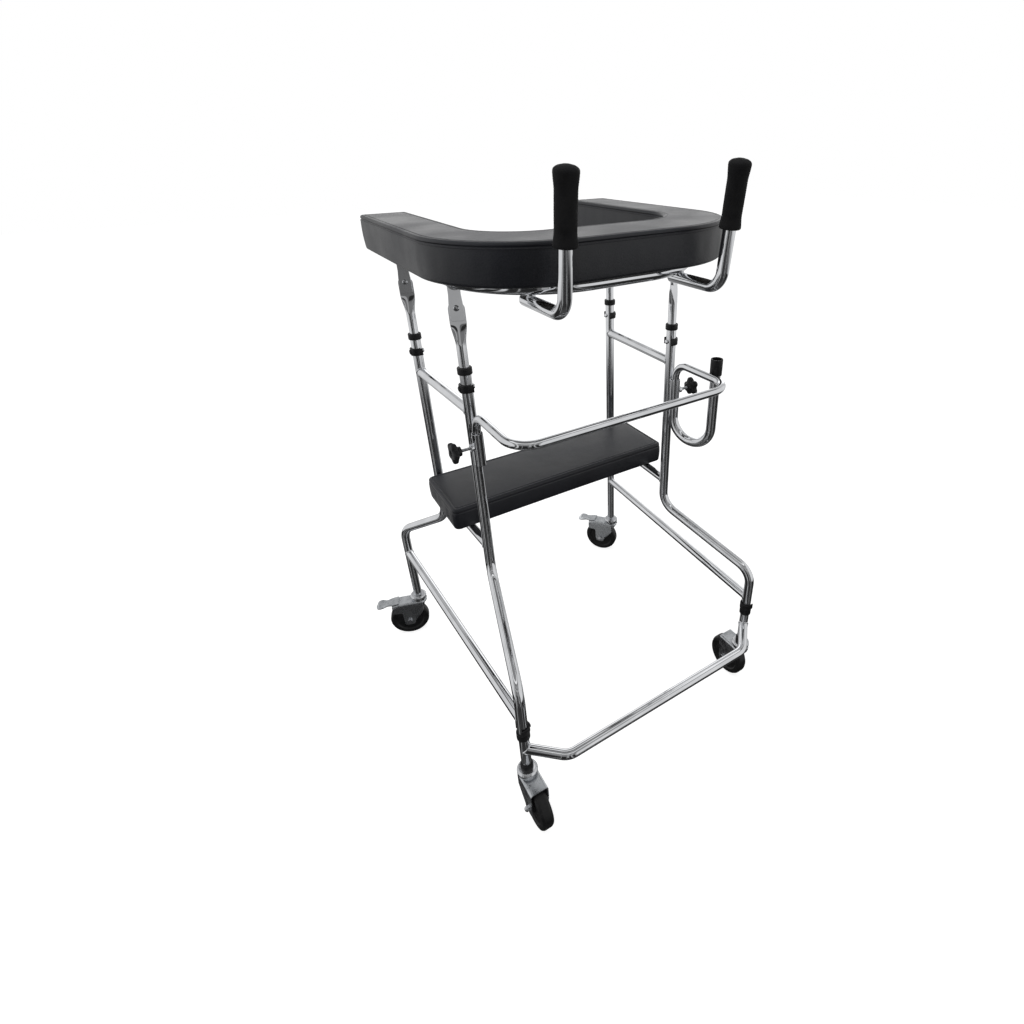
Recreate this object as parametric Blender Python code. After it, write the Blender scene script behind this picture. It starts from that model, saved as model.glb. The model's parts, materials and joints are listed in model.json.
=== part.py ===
"""Forearm support walker on four swivel casters.

Two bent tube side frames carry a seat between them, a front bow joins them at the bottom and a
guard bar across the front. Four telescoping tubes lift a horseshoe armrest with two upright
handles. Units are metres, +Z is up, the walker faces -Y and its left side is at -X.
"""

import math
from dataclasses import dataclass

import bmesh
import bpy
from mathutils import Matrix, Quaternion, Vector

# Tubes and fits
TUBE_OD = 0.0205
TUBE_WALL = 0.001
INNER_OD = 0.0175
INNER_WALL = 0.001
BAR_OD = 0.0195
BOW_OD = 0.0200
GUARD_OD = 0.0155
GAP = 0.0003
TUBE_SIDES = 14
SLIM_SIDES = 12
BEND_STEPS = 3
WIDE_BEND_STEPS = 4

# Side frames: where the posts and the feet stand
FRONT_POST_X = 0.225
FRONT_POST_Y = -0.122
REAR_POST_X = 0.235
REAR_POST_Y = 0.122
FRONT_FOOT_X = 0.288
FRONT_FOOT_Y = -0.363
REAR_FOOT_X = 0.314
REAR_FOOT_Y = 0.238
POST_TOP_Z = 0.852
KNEE_Z = 0.413
ANKLE_Z = 0.335
LEG_BEND_R = 0.045
UPPER_BAR_Z = 0.774
SEAT_BAR_Z = 0.479
RAIL_Z = 0.262

# Post collars and the clips that lock the telescoping tubes
COLLAR_R = 0.0128
COLLAR_HEIGHT = 0.012
COLLAR_LIP = 0.003
COLLAR_CHAMFER = 0.001
CLIP_Z = 0.818
CLIP_HEIGHT = 0.014
CLIP_WALL = 0.0025
CLIP_LIP_LENGTH = 0.008
PIN_R = 0.003
FERRULE_R = 0.0045
FERRULE_LENGTH = 0.003

# Front bow and its two plug tubes
BOW_Z = 0.180
BOW_Y = -0.4215
BOW_CORNER_X = 0.2256
BOW_BEND_R = 0.035
FRONT_LEG_END_Z = 0.217
PLUG_TOP_Z = 0.290
PLUG_END_Z = 0.137
LOWER_CLIP_Z = 0.2415

# Seat, a cushion on a board
CUSHION_TURN_IN = 0.002
CUSHION_HEM = 0.003
CUSHION_TOP_SHARE = 0.36
CUSHION_ROUND_SHARE = 0.3
LEAST_CORNER_R = 0.003
SEAT_HALF_LENGTH = 0.266
SEAT_FRONT_Y = -0.058
SEAT_REAR_Y = 0.108
SEAT_HEIGHT = 0.050
SEAT_CORNER_R = 0.006
SEAT_CROWN = 0.004
SEAT_DRAW_IN = 0.0015
SEAT_EDGE_R = 0.004
SEAT_BOARD_THICKNESS = 0.012
SEAT_BOARD_INSET = 0.012

# Guard bar, its sockets and the clamp knobs
GUARD_Z = 0.776
GUARD_FRONT_Y = -0.305
GUARD_BEND_R = 0.034
GUARD_CORNER_R = 0.045
GUARD_LEG_END_Z = 0.678
SOCKET_TOP_Z = 0.739
SOCKET_LENGTH = 0.063
BOSS_R = 0.0065
BOSS_LENGTH = 0.006
SCREW_R = 0.003
SCREW_Z = 0.713
KNOB_R = 0.020
KNOB_LOBES = 5
KNOB_LOBE_DEPTH = 0.0035
KNOB_THICKNESS = 0.018
KNOB_STANDOFF = 0.023
KNOB_NECK = 0.42

# Cane holder, a hook of tube below the right socket
HOOK_BOTTOM_STRAIGHT_Z = 0.655
HOOK_BEND_R = 0.048
HOOK_FLAT = 0.001
HOOK_TURN = math.radians(14)
HOOK_RISE = 0.010
HOOK_TOP_Z = GUARD_Z + HOOK_RISE
CUP_HEIGHT = 0.033
CUP_WALL = 0.0016
CUP_TAPER = 0.0005
CUP_GRIP = 0.012

# Telescoping tubes of the armrest
INNER_END_Z = 0.655
TAPER_START_Z = 0.893
FLAT_START_Z = 0.930
FLAT_TOP_Z = 0.966
FLAT_HALF_WIDTH = 0.0135
FLAT_THICKNESS = 0.0026
RIVET_Z = 0.955
RIVET_R = 0.004
RIVET_HEAD_R = 0.006
RIVET_HEAD_HEIGHT = 0.0022
HOLE_PITCH = 0.030
HOLE_COUNT = 6

# Armrest frame
ARM_TUBE_Z = 0.9952
ARM_FRONT_Y = -0.260
ARM_REAR_Y = 0.172
ARM_CORNER_R = 0.175
TAB_THICKNESS = 0.003
TAB_WIDTH = 0.020
TAB_LOW_WIDTH = 0.027
TAB_END_Z = 0.934

# Armrest pad
PAD_HALF_WIDTH = 0.277
PAD_HALF_OPENING = 0.187
PAD_FRONT_Y = -0.301
PAD_INNER_FRONT_Y = -0.187
PAD_REAR_Y = 0.212
PAD_OUTER_R = 0.180
PAD_INNER_R = 0.095
PAD_TUBE_GAP = 0.00055
PAD_HEIGHT = 0.063
PAD_CROWN = 0.004
PAD_DRAW_IN = 0.0015
PAD_HEM = 0.002
PAD_EDGE_R = 0.004
PAD_END_ROUND = 0.004
PAD_CORNER_STEPS = 6
PIPING_R = 0.0018
PIPING_DROP = 0.0065
PAD_BOARD_THICKNESS = 0.012
PAD_BOARD_INSET = 0.012

# Handles
HANDLE_X = 0.145
HANDLE_INNER_Y = -0.210
HANDLE_BEND_Y = -0.332
HANDLE_BEND_R = 0.030
HANDLE_LEAN = math.radians(5.9)
GRIP_LIFT = 0.0927
GRIP_LENGTH = 0.0965
GRIP_R = 0.0150
GRIP_FLARE_R = 0.0170
GRIP_END_WALL = 0.005
GRIP_SKIRT = 0.020
GRIP_HEAD = 0.024
GRIP_WAIST_SWELL = 0.0008
GRIP_EDGE = 0.002

# Casters
CASTER_TOP_Z = 0.123
PLUG_DEPTH = 0.037
CUP_RACE_R = 0.0205
CUP_RACE_Z = 0.1135
RING_R = 0.0125
STEM_CHAMFER = 0.001
KING_PIN_R = 0.005
KING_HEAD_R = 0.008
KING_HEAD_HEIGHT = 0.0025
FORK_TOP_Z = 0.108
FORK_SHEET = 0.0025
FORK_INNER_WIDTH = 0.033
FORK_REACH_BACK = 0.0205
FORK_BACK_TURN = 70
FORK_REACH_PLAIN = 0.045
FORK_REACH_BRAKED = 0.070
FORK_SHOULDER_Z = 0.084
FORK_BACK_DROP = 0.016
FORK_FOLD = 0.002
FORK_STEP = 0.006
FORK_THROAT = 0.008
FORK_EYE_R = 0.012
RACE_R = 0.018
WHEEL_R = 0.050
WHEEL_WIDTH = 0.026
WHEEL_SIDES = 20
TREAD_ROUND = 0.005
HUB_R = 0.013
RIM_R = 0.034
WEB_RECESS = 0.003
TRAIL = 0.032
AXLE_R = 0.004
AXLE_HEAD_R = 0.007
AXLE_HEAD_THICKNESS = 0.0045

# Brake pedals of the rear casters
PEDAL_PIVOT_X = 0.064
PEDAL_PIVOT_Z = 0.0985
PEDAL_PIN_R = 0.003
PEDAL_WIDTH = 0.031
PEDAL_SHEET = 0.0025
PEDAL_TOE_X = 0.110
PEDAL_TOE_DROP = 0.002
PEDAL_HUB_R = 0.0072
PEDAL_PRESS = 11
SHOE_SPREAD = (12, 26, 40)


@dataclass(frozen=True)
class Leg:
    """One leg of a side frame: its post above, its foot below and the end of its tube."""

    name: str
    side: int
    post: Vector
    foot: Vector
    end_z: float
    heading: float
    braked: bool

    def at_post(self, z):
        """Point of the post's axis at height z."""
        return Vector((self.post.x, self.post.y, z))

    def at_foot(self, z):
        """Point of the foot's axis at height z."""
        return Vector((self.foot.x, self.foot.y, z))


def make_legs():
    """The four legs, with the heading that each caster has come to rest at."""
    legs = []
    headings = {"front_left": -90, "front_right": 90, "rear_left": 162, "rear_right": 128}
    for end, post_x, post_y, foot_x, foot_y, end_z in (
        ("front", FRONT_POST_X, FRONT_POST_Y, FRONT_FOOT_X, FRONT_FOOT_Y, FRONT_LEG_END_Z),
        ("rear", REAR_POST_X, REAR_POST_Y, REAR_FOOT_X, REAR_FOOT_Y, CASTER_TOP_Z + GAP),
    ):
        for side_name, side in (("left", -1), ("right", 1)):
            name = f"{end}_{side_name}"
            legs.append(
                Leg(
                    name=name,
                    side=side,
                    post=Vector((side * post_x, post_y)),
                    foot=Vector((side * foot_x, foot_y)),
                    end_z=end_z,
                    heading=math.radians(headings[name]),
                    braked=end == "rear",
                )
            )
    return legs


# Scene and materials


def clear_scene():
    """Remove every object of the scene."""
    for obj in list(bpy.data.objects):
        bpy.data.objects.remove(obj, do_unlink=True)


def make_material(name, colour, roughness, metallic=0.0):
    """A Principled material of one colour."""
    material = bpy.data.materials.new(name)
    material.use_nodes = True
    shader = material.node_tree.nodes["Principled BSDF"]
    shader.inputs["Base Color"].default_value = (*colour, 1.0)
    shader.inputs["Roughness"].default_value = roughness
    shader.inputs["Metallic"].default_value = metallic
    return material


def make_empty(name, parent=None, location=(0, 0, 0), heading=0.0):
    """An empty that carries pieces."""
    empty = bpy.data.objects.new(name, None)
    empty.parent = parent
    empty.location = location
    empty.rotation_euler = (0, 0, heading)
    bpy.context.collection.objects.link(empty)
    return empty


def make_object(name, bm, material, parent=None, location=(0, 0, 0), rotation=(0, 0, 0)):
    """A mesh object from a bmesh, with outward normals and smooth round faces."""
    bmesh.ops.recalc_face_normals(bm, faces=bm.faces)
    mesh = bpy.data.meshes.new(name)
    bm.to_mesh(mesh)
    bm.free()
    mesh.shade_smooth()
    mesh.set_sharp_from_angle(angle=math.radians(38))
    obj = bpy.data.objects.new(name, mesh)
    if material:
        mesh.materials.append(material)
    obj.parent = parent
    obj.location = location
    obj.rotation_euler = rotation
    bpy.context.collection.objects.link(obj)
    return obj


def apply_boolean(target, bm, operation, location=(0, 0, 0), rotation=(0, 0, 0)):
    """Cut from, fuse to or intersect the target with a shape in the target's own frame."""
    tool = make_object(f"{target.name}_{operation.lower()}", bm, None, target, location, rotation)
    tool.hide_render = True
    tool.display_type = "WIRE"
    modifier = target.modifiers.new(tool.name, "BOOLEAN")
    modifier.operation = operation
    modifier.solver = "EXACT"
    modifier.object = tool


# Shapes


def fillet_path(corners, radius, steps=BEND_STEPS):
    """Path through the corners with every inner corner rounded to an arc."""
    path = [corners[0]]
    for before, corner, after in zip(corners, corners[1:], corners[2:]):
        back = (before - corner).normalized()
        ahead = (after - corner).normalized()
        half_angle = back.angle(ahead) / 2
        start = corner + back * radius / math.tan(half_angle)
        centre = corner + (back + ahead).normalized() * radius / math.sin(half_angle)
        axis = ahead.cross(back)
        turn = math.pi - 2 * half_angle
        for step in range(steps + 1):
            spin = Quaternion(axis, turn * step / steps)
            path.append(centre + spin @ (start - centre))
    path.append(corners[-1])
    return path


def sweep_rings(path, radius, sides):
    """Rings of points square to the path, turned with it without twist."""
    tangents = [(b - a).normalized() for a, b in zip(path, path[1:])]
    directions = [tangents[0]]
    directions += [(a + b).normalized() for a, b in zip(tangents, tangents[1:])]
    directions.append(tangents[-1])
    normal = directions[0].orthogonal().normalized()
    rings = []
    for index, (point, direction) in enumerate(zip(path, directions)):
        if index:
            normal = directions[index - 1].rotation_difference(direction) @ normal
        normal = (normal - direction * normal.dot(direction)).normalized()
        across = direction.cross(normal)
        ring = []
        for side in range(sides):
            angle = 2 * math.pi * (side + 0.5) / sides
            ring.append(point + (normal * math.cos(angle) + across * math.sin(angle)) * radius)
        rings.append(ring)
    return rings


def skin(bm, rings, closed=False):
    """Add the rings' points and the faces between each ring and the next."""
    rows = [[bm.verts.new(point) for point in ring] for ring in rings]
    pairs = list(zip(rows, rows[1:]))
    if closed:
        pairs.append((rows[-1], rows[0]))
    for row, following in pairs:
        count = len(row)
        for i in range(count):
            j = (i + 1) % count
            bm.faces.new((row[i], row[j], following[j], following[i]))
    return rows


def loft(rings):
    """Closed solid through the rings, with flat ends."""
    bm = bmesh.new()
    rows = skin(bm, rings)
    bm.faces.new(rows[0])
    bm.faces.new(rows[-1])
    return bm


def rod(path, radius, sides=SLIM_SIDES):
    """Solid round bar along a path."""
    return loft(sweep_rings(path, radius, sides))


def pipe(path, outer_r, wall, sides=TUBE_SIDES):
    """Hollow round tube along a path, open at both ends."""
    bm = bmesh.new()
    outer = sweep_rings(path, outer_r, sides)
    inner = sweep_rings(path, outer_r - wall, sides)
    skin(bm, outer + inner[::-1], closed=True)
    return bm


def turn_profile(profile, sides, closed=False):
    """Solid of revolution about Z of (radius, height) points, ring shaped if closed."""
    rings = []
    for radius, height in profile:
        ring = []
        for side in range(sides):
            angle = 2 * math.pi * (side + 0.5) / sides
            ring.append(Vector((radius * math.cos(angle), radius * math.sin(angle), height)))
        rings.append(ring)
    if not closed:
        return loft(rings)
    bm = bmesh.new()
    skin(bm, rings, closed=True)
    return bm


def cylinder(radius, low, high, sides=SLIM_SIDES):
    """Upright cylinder from height low to height high."""
    return turn_profile([(radius, low), (radius, high)], sides)


def prism(outline, low, high):
    """Outline of (x, y) points raised from height low to height high."""
    return loft([[Vector((x, y, z)) for x, y in outline] for z in (low, high)])


def arc(centre_x, centre_y, radius, start, end, steps):
    """Points of an arc between two angles in degrees."""
    points = []
    for step in range(steps + 1):
        angle = math.radians(start + (end - start) * step / steps)
        points.append((centre_x + radius * math.cos(angle), centre_y + radius * math.sin(angle)))
    return points


def rounded_rectangle(x0, y0, x1, y1, radius, steps=BEND_STEPS):
    """Outline of a rectangle with round corners, anticlockwise."""
    outline = arc(x1 - radius, y1 - radius, radius, 0, 90, steps)
    outline += arc(x0 + radius, y1 - radius, radius, 90, 180, steps)
    outline += arc(x0 + radius, y0 + radius, radius, 180, 270, steps)
    outline += arc(x1 - radius, y0 + radius, radius, 270, 360, steps)
    return outline


def aim(direction):
    """Euler rotation that turns +Z to the given direction."""
    return Vector((0, 0, 1)).rotation_difference(direction).to_euler()


# Side frames


def latch_direction(leg, inward=False):
    """Way that a clip pulls off: outward from the walker, or inward at the front feet."""
    return -leg.side if inward else leg.side


def build_leg(leg, root, chrome):
    """Bent leg tube with its latch hole and the ferrule that takes the clip pin's end."""
    corners = [leg.at_post(POST_TOP_Z), leg.at_post(KNEE_Z)]
    corners += [leg.at_foot(ANKLE_Z), leg.at_foot(leg.end_z)]
    path = fillet_path(corners, LEG_BEND_R)
    tube = make_object(f"{leg.name}_leg", pipe(path, TUBE_OD / 2, TUBE_WALL), chrome, root)
    outward = Vector((latch_direction(leg), 0, 0))
    ferrule_start = TUBE_OD / 2 - TUBE_WALL / 2
    ferrule = cylinder(FERRULE_R, ferrule_start, TUBE_OD / 2 + FERRULE_LENGTH, 8)
    apply_boolean(tube, ferrule, "UNION", leg.at_post(CLIP_Z), aim(-outward))
    hole = cylinder(PIN_R + GAP, 0, TUBE_OD, 8)
    apply_boolean(tube, hole, "DIFFERENCE", leg.at_post(CLIP_Z), aim(outward))
    if not leg.braked:
        inward = Vector((latch_direction(leg, inward=True), 0, 0))
        hole = cylinder(PIN_R + GAP, 0, TUBE_OD, 8)
        apply_boolean(tube, hole, "DIFFERENCE", leg.at_foot(LOWER_CLIP_Z), aim(inward))


def build_cross_bar(name, start, end, root, chrome):
    """Straight tube between two upright tubes, its ends coped to their round walls."""
    bar = make_object(name, rod([start, end], BAR_OD / 2, TUBE_SIDES), chrome, root)
    for point in (start, end):
        upright = cylinder(TUBE_OD / 2 + GAP, -TUBE_OD, TUBE_OD, 18)
        apply_boolean(bar, upright, "DIFFERENCE", point)


def build_side_bars(front, rear, side_name, root, chrome):
    """Upper bar, seat bar and bottom rail of one side frame."""
    for name, height in (("upper_bar", UPPER_BAR_Z), ("seat_bar", SEAT_BAR_Z)):
        start = front.at_post(height)
        end = rear.at_post(height)
        build_cross_bar(f"{name}_{side_name}", start, end, root, chrome)
    start = front.at_foot(RAIL_Z)
    end = rear.at_foot(RAIL_Z)
    build_cross_bar(f"lower_rail_{side_name}", start, end, root, chrome)


def collar_mesh():
    """Stepped ring over a tube's end, with the inner tube through its lip, tube end at Z 0."""
    outer_tube_r = TUBE_OD / 2
    inner_tube_r = INNER_OD / 2
    skirt = COLLAR_HEIGHT - COLLAR_LIP
    profile = [
        (inner_tube_r + GAP, COLLAR_LIP),
        (COLLAR_R - COLLAR_CHAMFER, COLLAR_LIP),
        (COLLAR_R, COLLAR_LIP - COLLAR_CHAMFER),
        (COLLAR_R, -skirt + COLLAR_CHAMFER),
        (COLLAR_R - COLLAR_CHAMFER, -skirt),
        (outer_tube_r + GAP, -skirt),
        (outer_tube_r + GAP, GAP),
        (inner_tube_r + GAP, GAP),
    ]
    return turn_profile(profile, TUBE_SIDES, closed=True)


def build_collars(leg, root, plastic):
    """Black collars at the post's top and, in front, at the leg's lower end."""
    top = leg.at_post(POST_TOP_Z)
    make_object(f"{leg.name}_collar", collar_mesh(), plastic, root, top)
    if not leg.braked:
        end = leg.at_foot(leg.end_z)
        upside_down = (math.pi, 0, 0)
        make_object(f"{leg.name}_foot_collar", collar_mesh(), plastic, root, end, upside_down)


def build_clip(name, point, direction, root, plastic):
    """Plastic clip that straddles a tube, with its pin in the latch hole, pulled along its +X."""
    inner_r = TUBE_OD / 2 + GAP
    outer_r = inner_r + CLIP_WALL
    outline = arc(0, 0, outer_r, -90, 90, 8)
    outline.append((-CLIP_LIP_LENGTH, outer_r))
    outline.append((-CLIP_LIP_LENGTH, inner_r))
    outline += arc(0, 0, inner_r, 90, -90, 8)
    outline.append((-CLIP_LIP_LENGTH, -inner_r))
    outline.append((-CLIP_LIP_LENGTH, -outer_r))
    heading = 0.0 if direction > 0 else math.pi
    strap = prism(outline, -CLIP_HEIGHT / 2, CLIP_HEIGHT / 2)
    clip = make_object(name, strap, plastic, root, point, (0, 0, heading))
    pin_tip = INNER_OD / 2 + GAP
    pin = cylinder(PIN_R, pin_tip, outer_r - CLIP_WALL / 2, 8)
    apply_boolean(clip, pin, "UNION", rotation=aim(Vector((1, 0, 0))))


def build_clips(leg, root, plastic):
    """The post's clip and, in front, the clip of the foot."""
    build_clip(f"{leg.name}_clip", leg.at_post(CLIP_Z), latch_direction(leg), root, plastic)
    if not leg.braked:
        inward = latch_direction(leg, inward=True)
        build_clip(f"{leg.name}_foot_clip", leg.at_foot(LOWER_CLIP_Z), inward, root, plastic)


def build_front_bow(front_left, front_right, root, chrome):
    """Front tube with the two foot tubes that it is welded to, each with a plug up its leg."""
    corners = [
        front_left.at_foot(BOW_Z),
        Vector((-BOW_CORNER_X, BOW_Y, BOW_Z)),
        Vector((BOW_CORNER_X, BOW_Y, BOW_Z)),
        front_right.at_foot(BOW_Z),
    ]
    path = fillet_path(corners, BOW_BEND_R)
    bow = make_object("front_bow", rod(path, BOW_OD / 2), chrome, root)
    sleeve_top = FRONT_LEG_END_Z - COLLAR_LIP - GAP
    foot_profile = [
        (BOW_OD / 2, PLUG_END_Z),
        (BOW_OD / 2, sleeve_top),
        (INNER_OD / 2, sleeve_top),
        (INNER_OD / 2, PLUG_TOP_Z),
    ]
    for leg in (front_left, front_right):
        foot_tube = turn_profile(foot_profile, SLIM_SIDES)
        apply_boolean(bow, foot_tube, "UNION", (leg.foot.x, leg.foot.y, 0))
        bore = cylinder(INNER_OD / 2 - INNER_WALL, PLUG_END_Z - GAP, PLUG_TOP_Z + GAP, SLIM_SIDES)
        apply_boolean(bow, bore, "DIFFERENCE", (leg.foot.x, leg.foot.y, 0))
        hole = cylinder(PIN_R + GAP, 0, INNER_OD, 8)
        inward = Vector((latch_direction(leg, inward=True), 0, 0))
        apply_boolean(bow, hole, "DIFFERENCE", leg.at_foot(LOWER_CLIP_Z), aim(inward))


# Seat


def cushion_rings(outline_at, height, draw_in, edge_r):
    """Side rings of a cushion: outline_at(inset) gives the outline, insets follow the bulge."""
    levels = [
        (draw_in + CUSHION_TURN_IN, 0.0),
        (draw_in, CUSHION_HEM),
        (0.0, height * 0.5),
        (draw_in * 0.5, height - edge_r),
        (edge_r * CUSHION_ROUND_SHARE, height - edge_r * CUSHION_ROUND_SHARE),
        (edge_r, height),
    ]
    return [[Vector((x, y, z)) for x, y in outline_at(inset)] for inset, z in levels]


def build_seat(root, vinyl, wood):
    """Upholstered seat on its board, which lies on the two seat bars."""
    bottom = SEAT_BAR_Z + BAR_OD / 2 + GAP

    def outline_at(inset):
        radius = max(SEAT_CORNER_R - inset, LEAST_CORNER_R)
        x = SEAT_HALF_LENGTH - inset
        return rounded_rectangle(-x, SEAT_FRONT_Y + inset, x, SEAT_REAR_Y - inset, radius)

    rings = cushion_rings(outline_at, SEAT_HEIGHT - SEAT_CROWN, SEAT_DRAW_IN, SEAT_EDGE_R)
    for share in (0.3, 0.7, 1.0):
        inset = SEAT_EDGE_R + share * (SEAT_REAR_Y - SEAT_FRONT_Y) * CUSHION_TOP_SHARE
        rise = SEAT_CROWN * math.sin(share * math.pi / 2)
        ring = [Vector((x, y, SEAT_HEIGHT - SEAT_CROWN + rise)) for x, y in outline_at(inset)]
        rings.append(ring)
    pad = make_object("seat_pad", loft(rings), vinyl, root, (0, 0, bottom))
    board_x = SEAT_HALF_LENGTH - SEAT_BOARD_INSET
    board_y0 = SEAT_FRONT_Y + SEAT_BOARD_INSET
    board_y1 = SEAT_REAR_Y - SEAT_BOARD_INSET
    outline = rounded_rectangle(-board_x, board_y0, board_x, board_y1, SEAT_CORNER_R)
    board = prism(outline, 0, SEAT_BOARD_THICKNESS)
    make_object("seat_board", board, wood, root, (0, 0, bottom))
    outline = rounded_rectangle(
        -board_x - GAP, board_y0 - GAP, board_x + GAP, board_y1 + GAP, SEAT_CORNER_R + GAP
    )
    pocket = prism(outline, -SEAT_HEIGHT, SEAT_BOARD_THICKNESS + GAP)
    apply_boolean(pad, pocket, "DIFFERENCE")


# Guard bar, sockets, knobs and cane holder


def socket_axis(leg):
    """Ground point of the socket welded to the front of a front post."""
    return Vector((leg.post.x, leg.post.y - TUBE_OD - GAP, 0))


def add_clamp_boss(socket, leg):
    """Screw boss on a socket's outer side, with its hole through the socket's wall."""
    outward = Vector((leg.side, 0, 0))
    centre = socket_axis(leg) + Vector((0, 0, SCREW_Z))
    start = TUBE_OD / 2 - TUBE_WALL / 2
    boss = cylinder(BOSS_R, start, TUBE_OD / 2 + BOSS_LENGTH, 10)
    apply_boolean(socket, boss, "UNION", centre, aim(outward))
    hole = cylinder(SCREW_R + GAP, 0, TUBE_OD + BOSS_LENGTH, 8)
    apply_boolean(socket, hole, "DIFFERENCE", centre, aim(outward))


def build_left_socket(leg, root, chrome):
    """Short upright socket of the guard bar's left end."""
    base = socket_axis(leg)
    path = [base + Vector((0, 0, z)) for z in (SOCKET_TOP_Z, SOCKET_TOP_Z - SOCKET_LENGTH)]
    socket = make_object("guard_socket_left", pipe(path, TUBE_OD / 2, TUBE_WALL), chrome, root)
    add_clamp_boss(socket, leg)


def build_cane_holder(leg, root, chrome, rubber):
    """Right socket, which runs on down and hooks up again to a rubber cup."""
    base = socket_axis(leg)
    forward = Vector((math.sin(HOOK_TURN), -math.cos(HOOK_TURN), 0))
    far = base + forward * (2 * HOOK_BEND_R + HOOK_FLAT)
    low = HOOK_BOTTOM_STRAIGHT_Z - HOOK_BEND_R
    corners = [
        base + Vector((0, 0, SOCKET_TOP_Z)),
        base + Vector((0, 0, low)),
        far + Vector((0, 0, low)),
        far + Vector((0, 0, HOOK_TOP_Z)),
    ]
    path = fillet_path(corners, HOOK_BEND_R, BEND_STEPS)
    holder = make_object("cane_holder", pipe(path, TUBE_OD / 2, TUBE_WALL), chrome, root)
    add_clamp_boss(holder, leg)
    tube_r = TUBE_OD / 2 + GAP
    profile = [
        (tube_r, -CUP_GRIP),
        (tube_r + CUP_WALL - CUP_TAPER, -CUP_GRIP),
        (tube_r + CUP_WALL, CUP_HEIGHT - CUP_GRIP - CUP_WALL),
        (tube_r + CUP_WALL - CUP_TAPER, CUP_HEIGHT - CUP_GRIP),
        (tube_r - TUBE_WALL, CUP_HEIGHT - CUP_GRIP),
        (tube_r - TUBE_WALL, GAP),
        (tube_r, GAP),
    ]
    cup = turn_profile(profile, TUBE_SIDES, closed=True)
    make_object("cane_cup", cup, rubber, root, far + Vector((0, 0, HOOK_TOP_Z)))


def build_guard_bar(front_left, front_right, root, chrome):
    """Bar across the front whose two legs stand in the sockets."""
    left = socket_axis(front_left)
    right = socket_axis(front_right)
    low = Vector((0, 0, GUARD_LEG_END_Z))
    high = Vector((0, 0, GUARD_Z))
    forward = Vector((0, GUARD_FRONT_Y - left.y, 0))
    rise = fillet_path([left + low, left + high, left + high + forward], GUARD_BEND_R)
    front = fillet_path([rise[-2], left + high + forward, right + high + forward], GUARD_CORNER_R)
    half = rise[:-1] + front[1:-1]
    mirrored = [Vector((-point.x, point.y, point.z)) for point in reversed(half)]
    make_object("guard_bar", rod(half + mirrored, GUARD_OD / 2), chrome, root)


def build_knob(leg, side_name, root, plastic):
    """Lobed clamp knob with its screw, turned about its own X, tip close to the bar's leg."""
    steps = KNOB_LOBES * 4

    def lobed(scale, height):
        ring = []
        for step in range(steps):
            angle = 2 * math.pi * step / steps
            wave = KNOB_LOBE_DEPTH * (1 - math.cos(KNOB_LOBES * angle)) / 2
            radius = (KNOB_R - wave) * scale
            ring.append(Vector((radius * math.cos(angle), radius * math.sin(angle), height)))
        return ring

    start = KNOB_STANDOFF
    levels = [
        (KNOB_NECK, start),
        (KNOB_NECK, start + KNOB_THICKNESS * 0.25),
        (0.95, start + KNOB_THICKNESS * 0.4),
        (1.0, start + KNOB_THICKNESS * 0.55),
        (1.0, start + KNOB_THICKNESS * 0.85),
        (0.88, start + KNOB_THICKNESS),
    ]
    head = loft([lobed(scale, height) for scale, height in levels])
    centre = socket_axis(leg) + Vector((0, 0, SCREW_Z))
    face = TUBE_OD / 2
    outward = Vector((leg.side, 0, 0))
    origin = centre + outward * face
    knob = make_object(f"clamp_knob_{side_name}", head, plastic, root, origin, aim(outward))
    tip = GUARD_OD / 2 + GAP - face
    screw = cylinder(SCREW_R, tip, start + KNOB_THICKNESS / 2, 8)
    apply_boolean(knob, screw, "UNION")


# Armrest


def flattened_ring(z, squeeze, width_share=1.0):
    """Ring of the telescoping tube at height z, round at squeeze 0 and pressed flat at 1."""
    radius = INNER_OD / 2
    points = []
    for side in range(SLIM_SIDES):
        angle = 2 * math.pi * (side + 0.5) / SLIM_SIDES
        round_point = Vector((math.cos(angle), math.sin(angle))) * radius
        flat_x = FLAT_HALF_WIDTH * width_share * math.cos(angle)
        flat_y = math.copysign(min(abs(math.sin(angle)) * 3, 1), math.sin(angle))
        flat_point = Vector((flat_x, flat_y * FLAT_THICKNESS / 2))
        point = round_point.lerp(flat_point, squeeze)
        points.append(Vector((point.x, point.y, z)))
    return points


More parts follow.
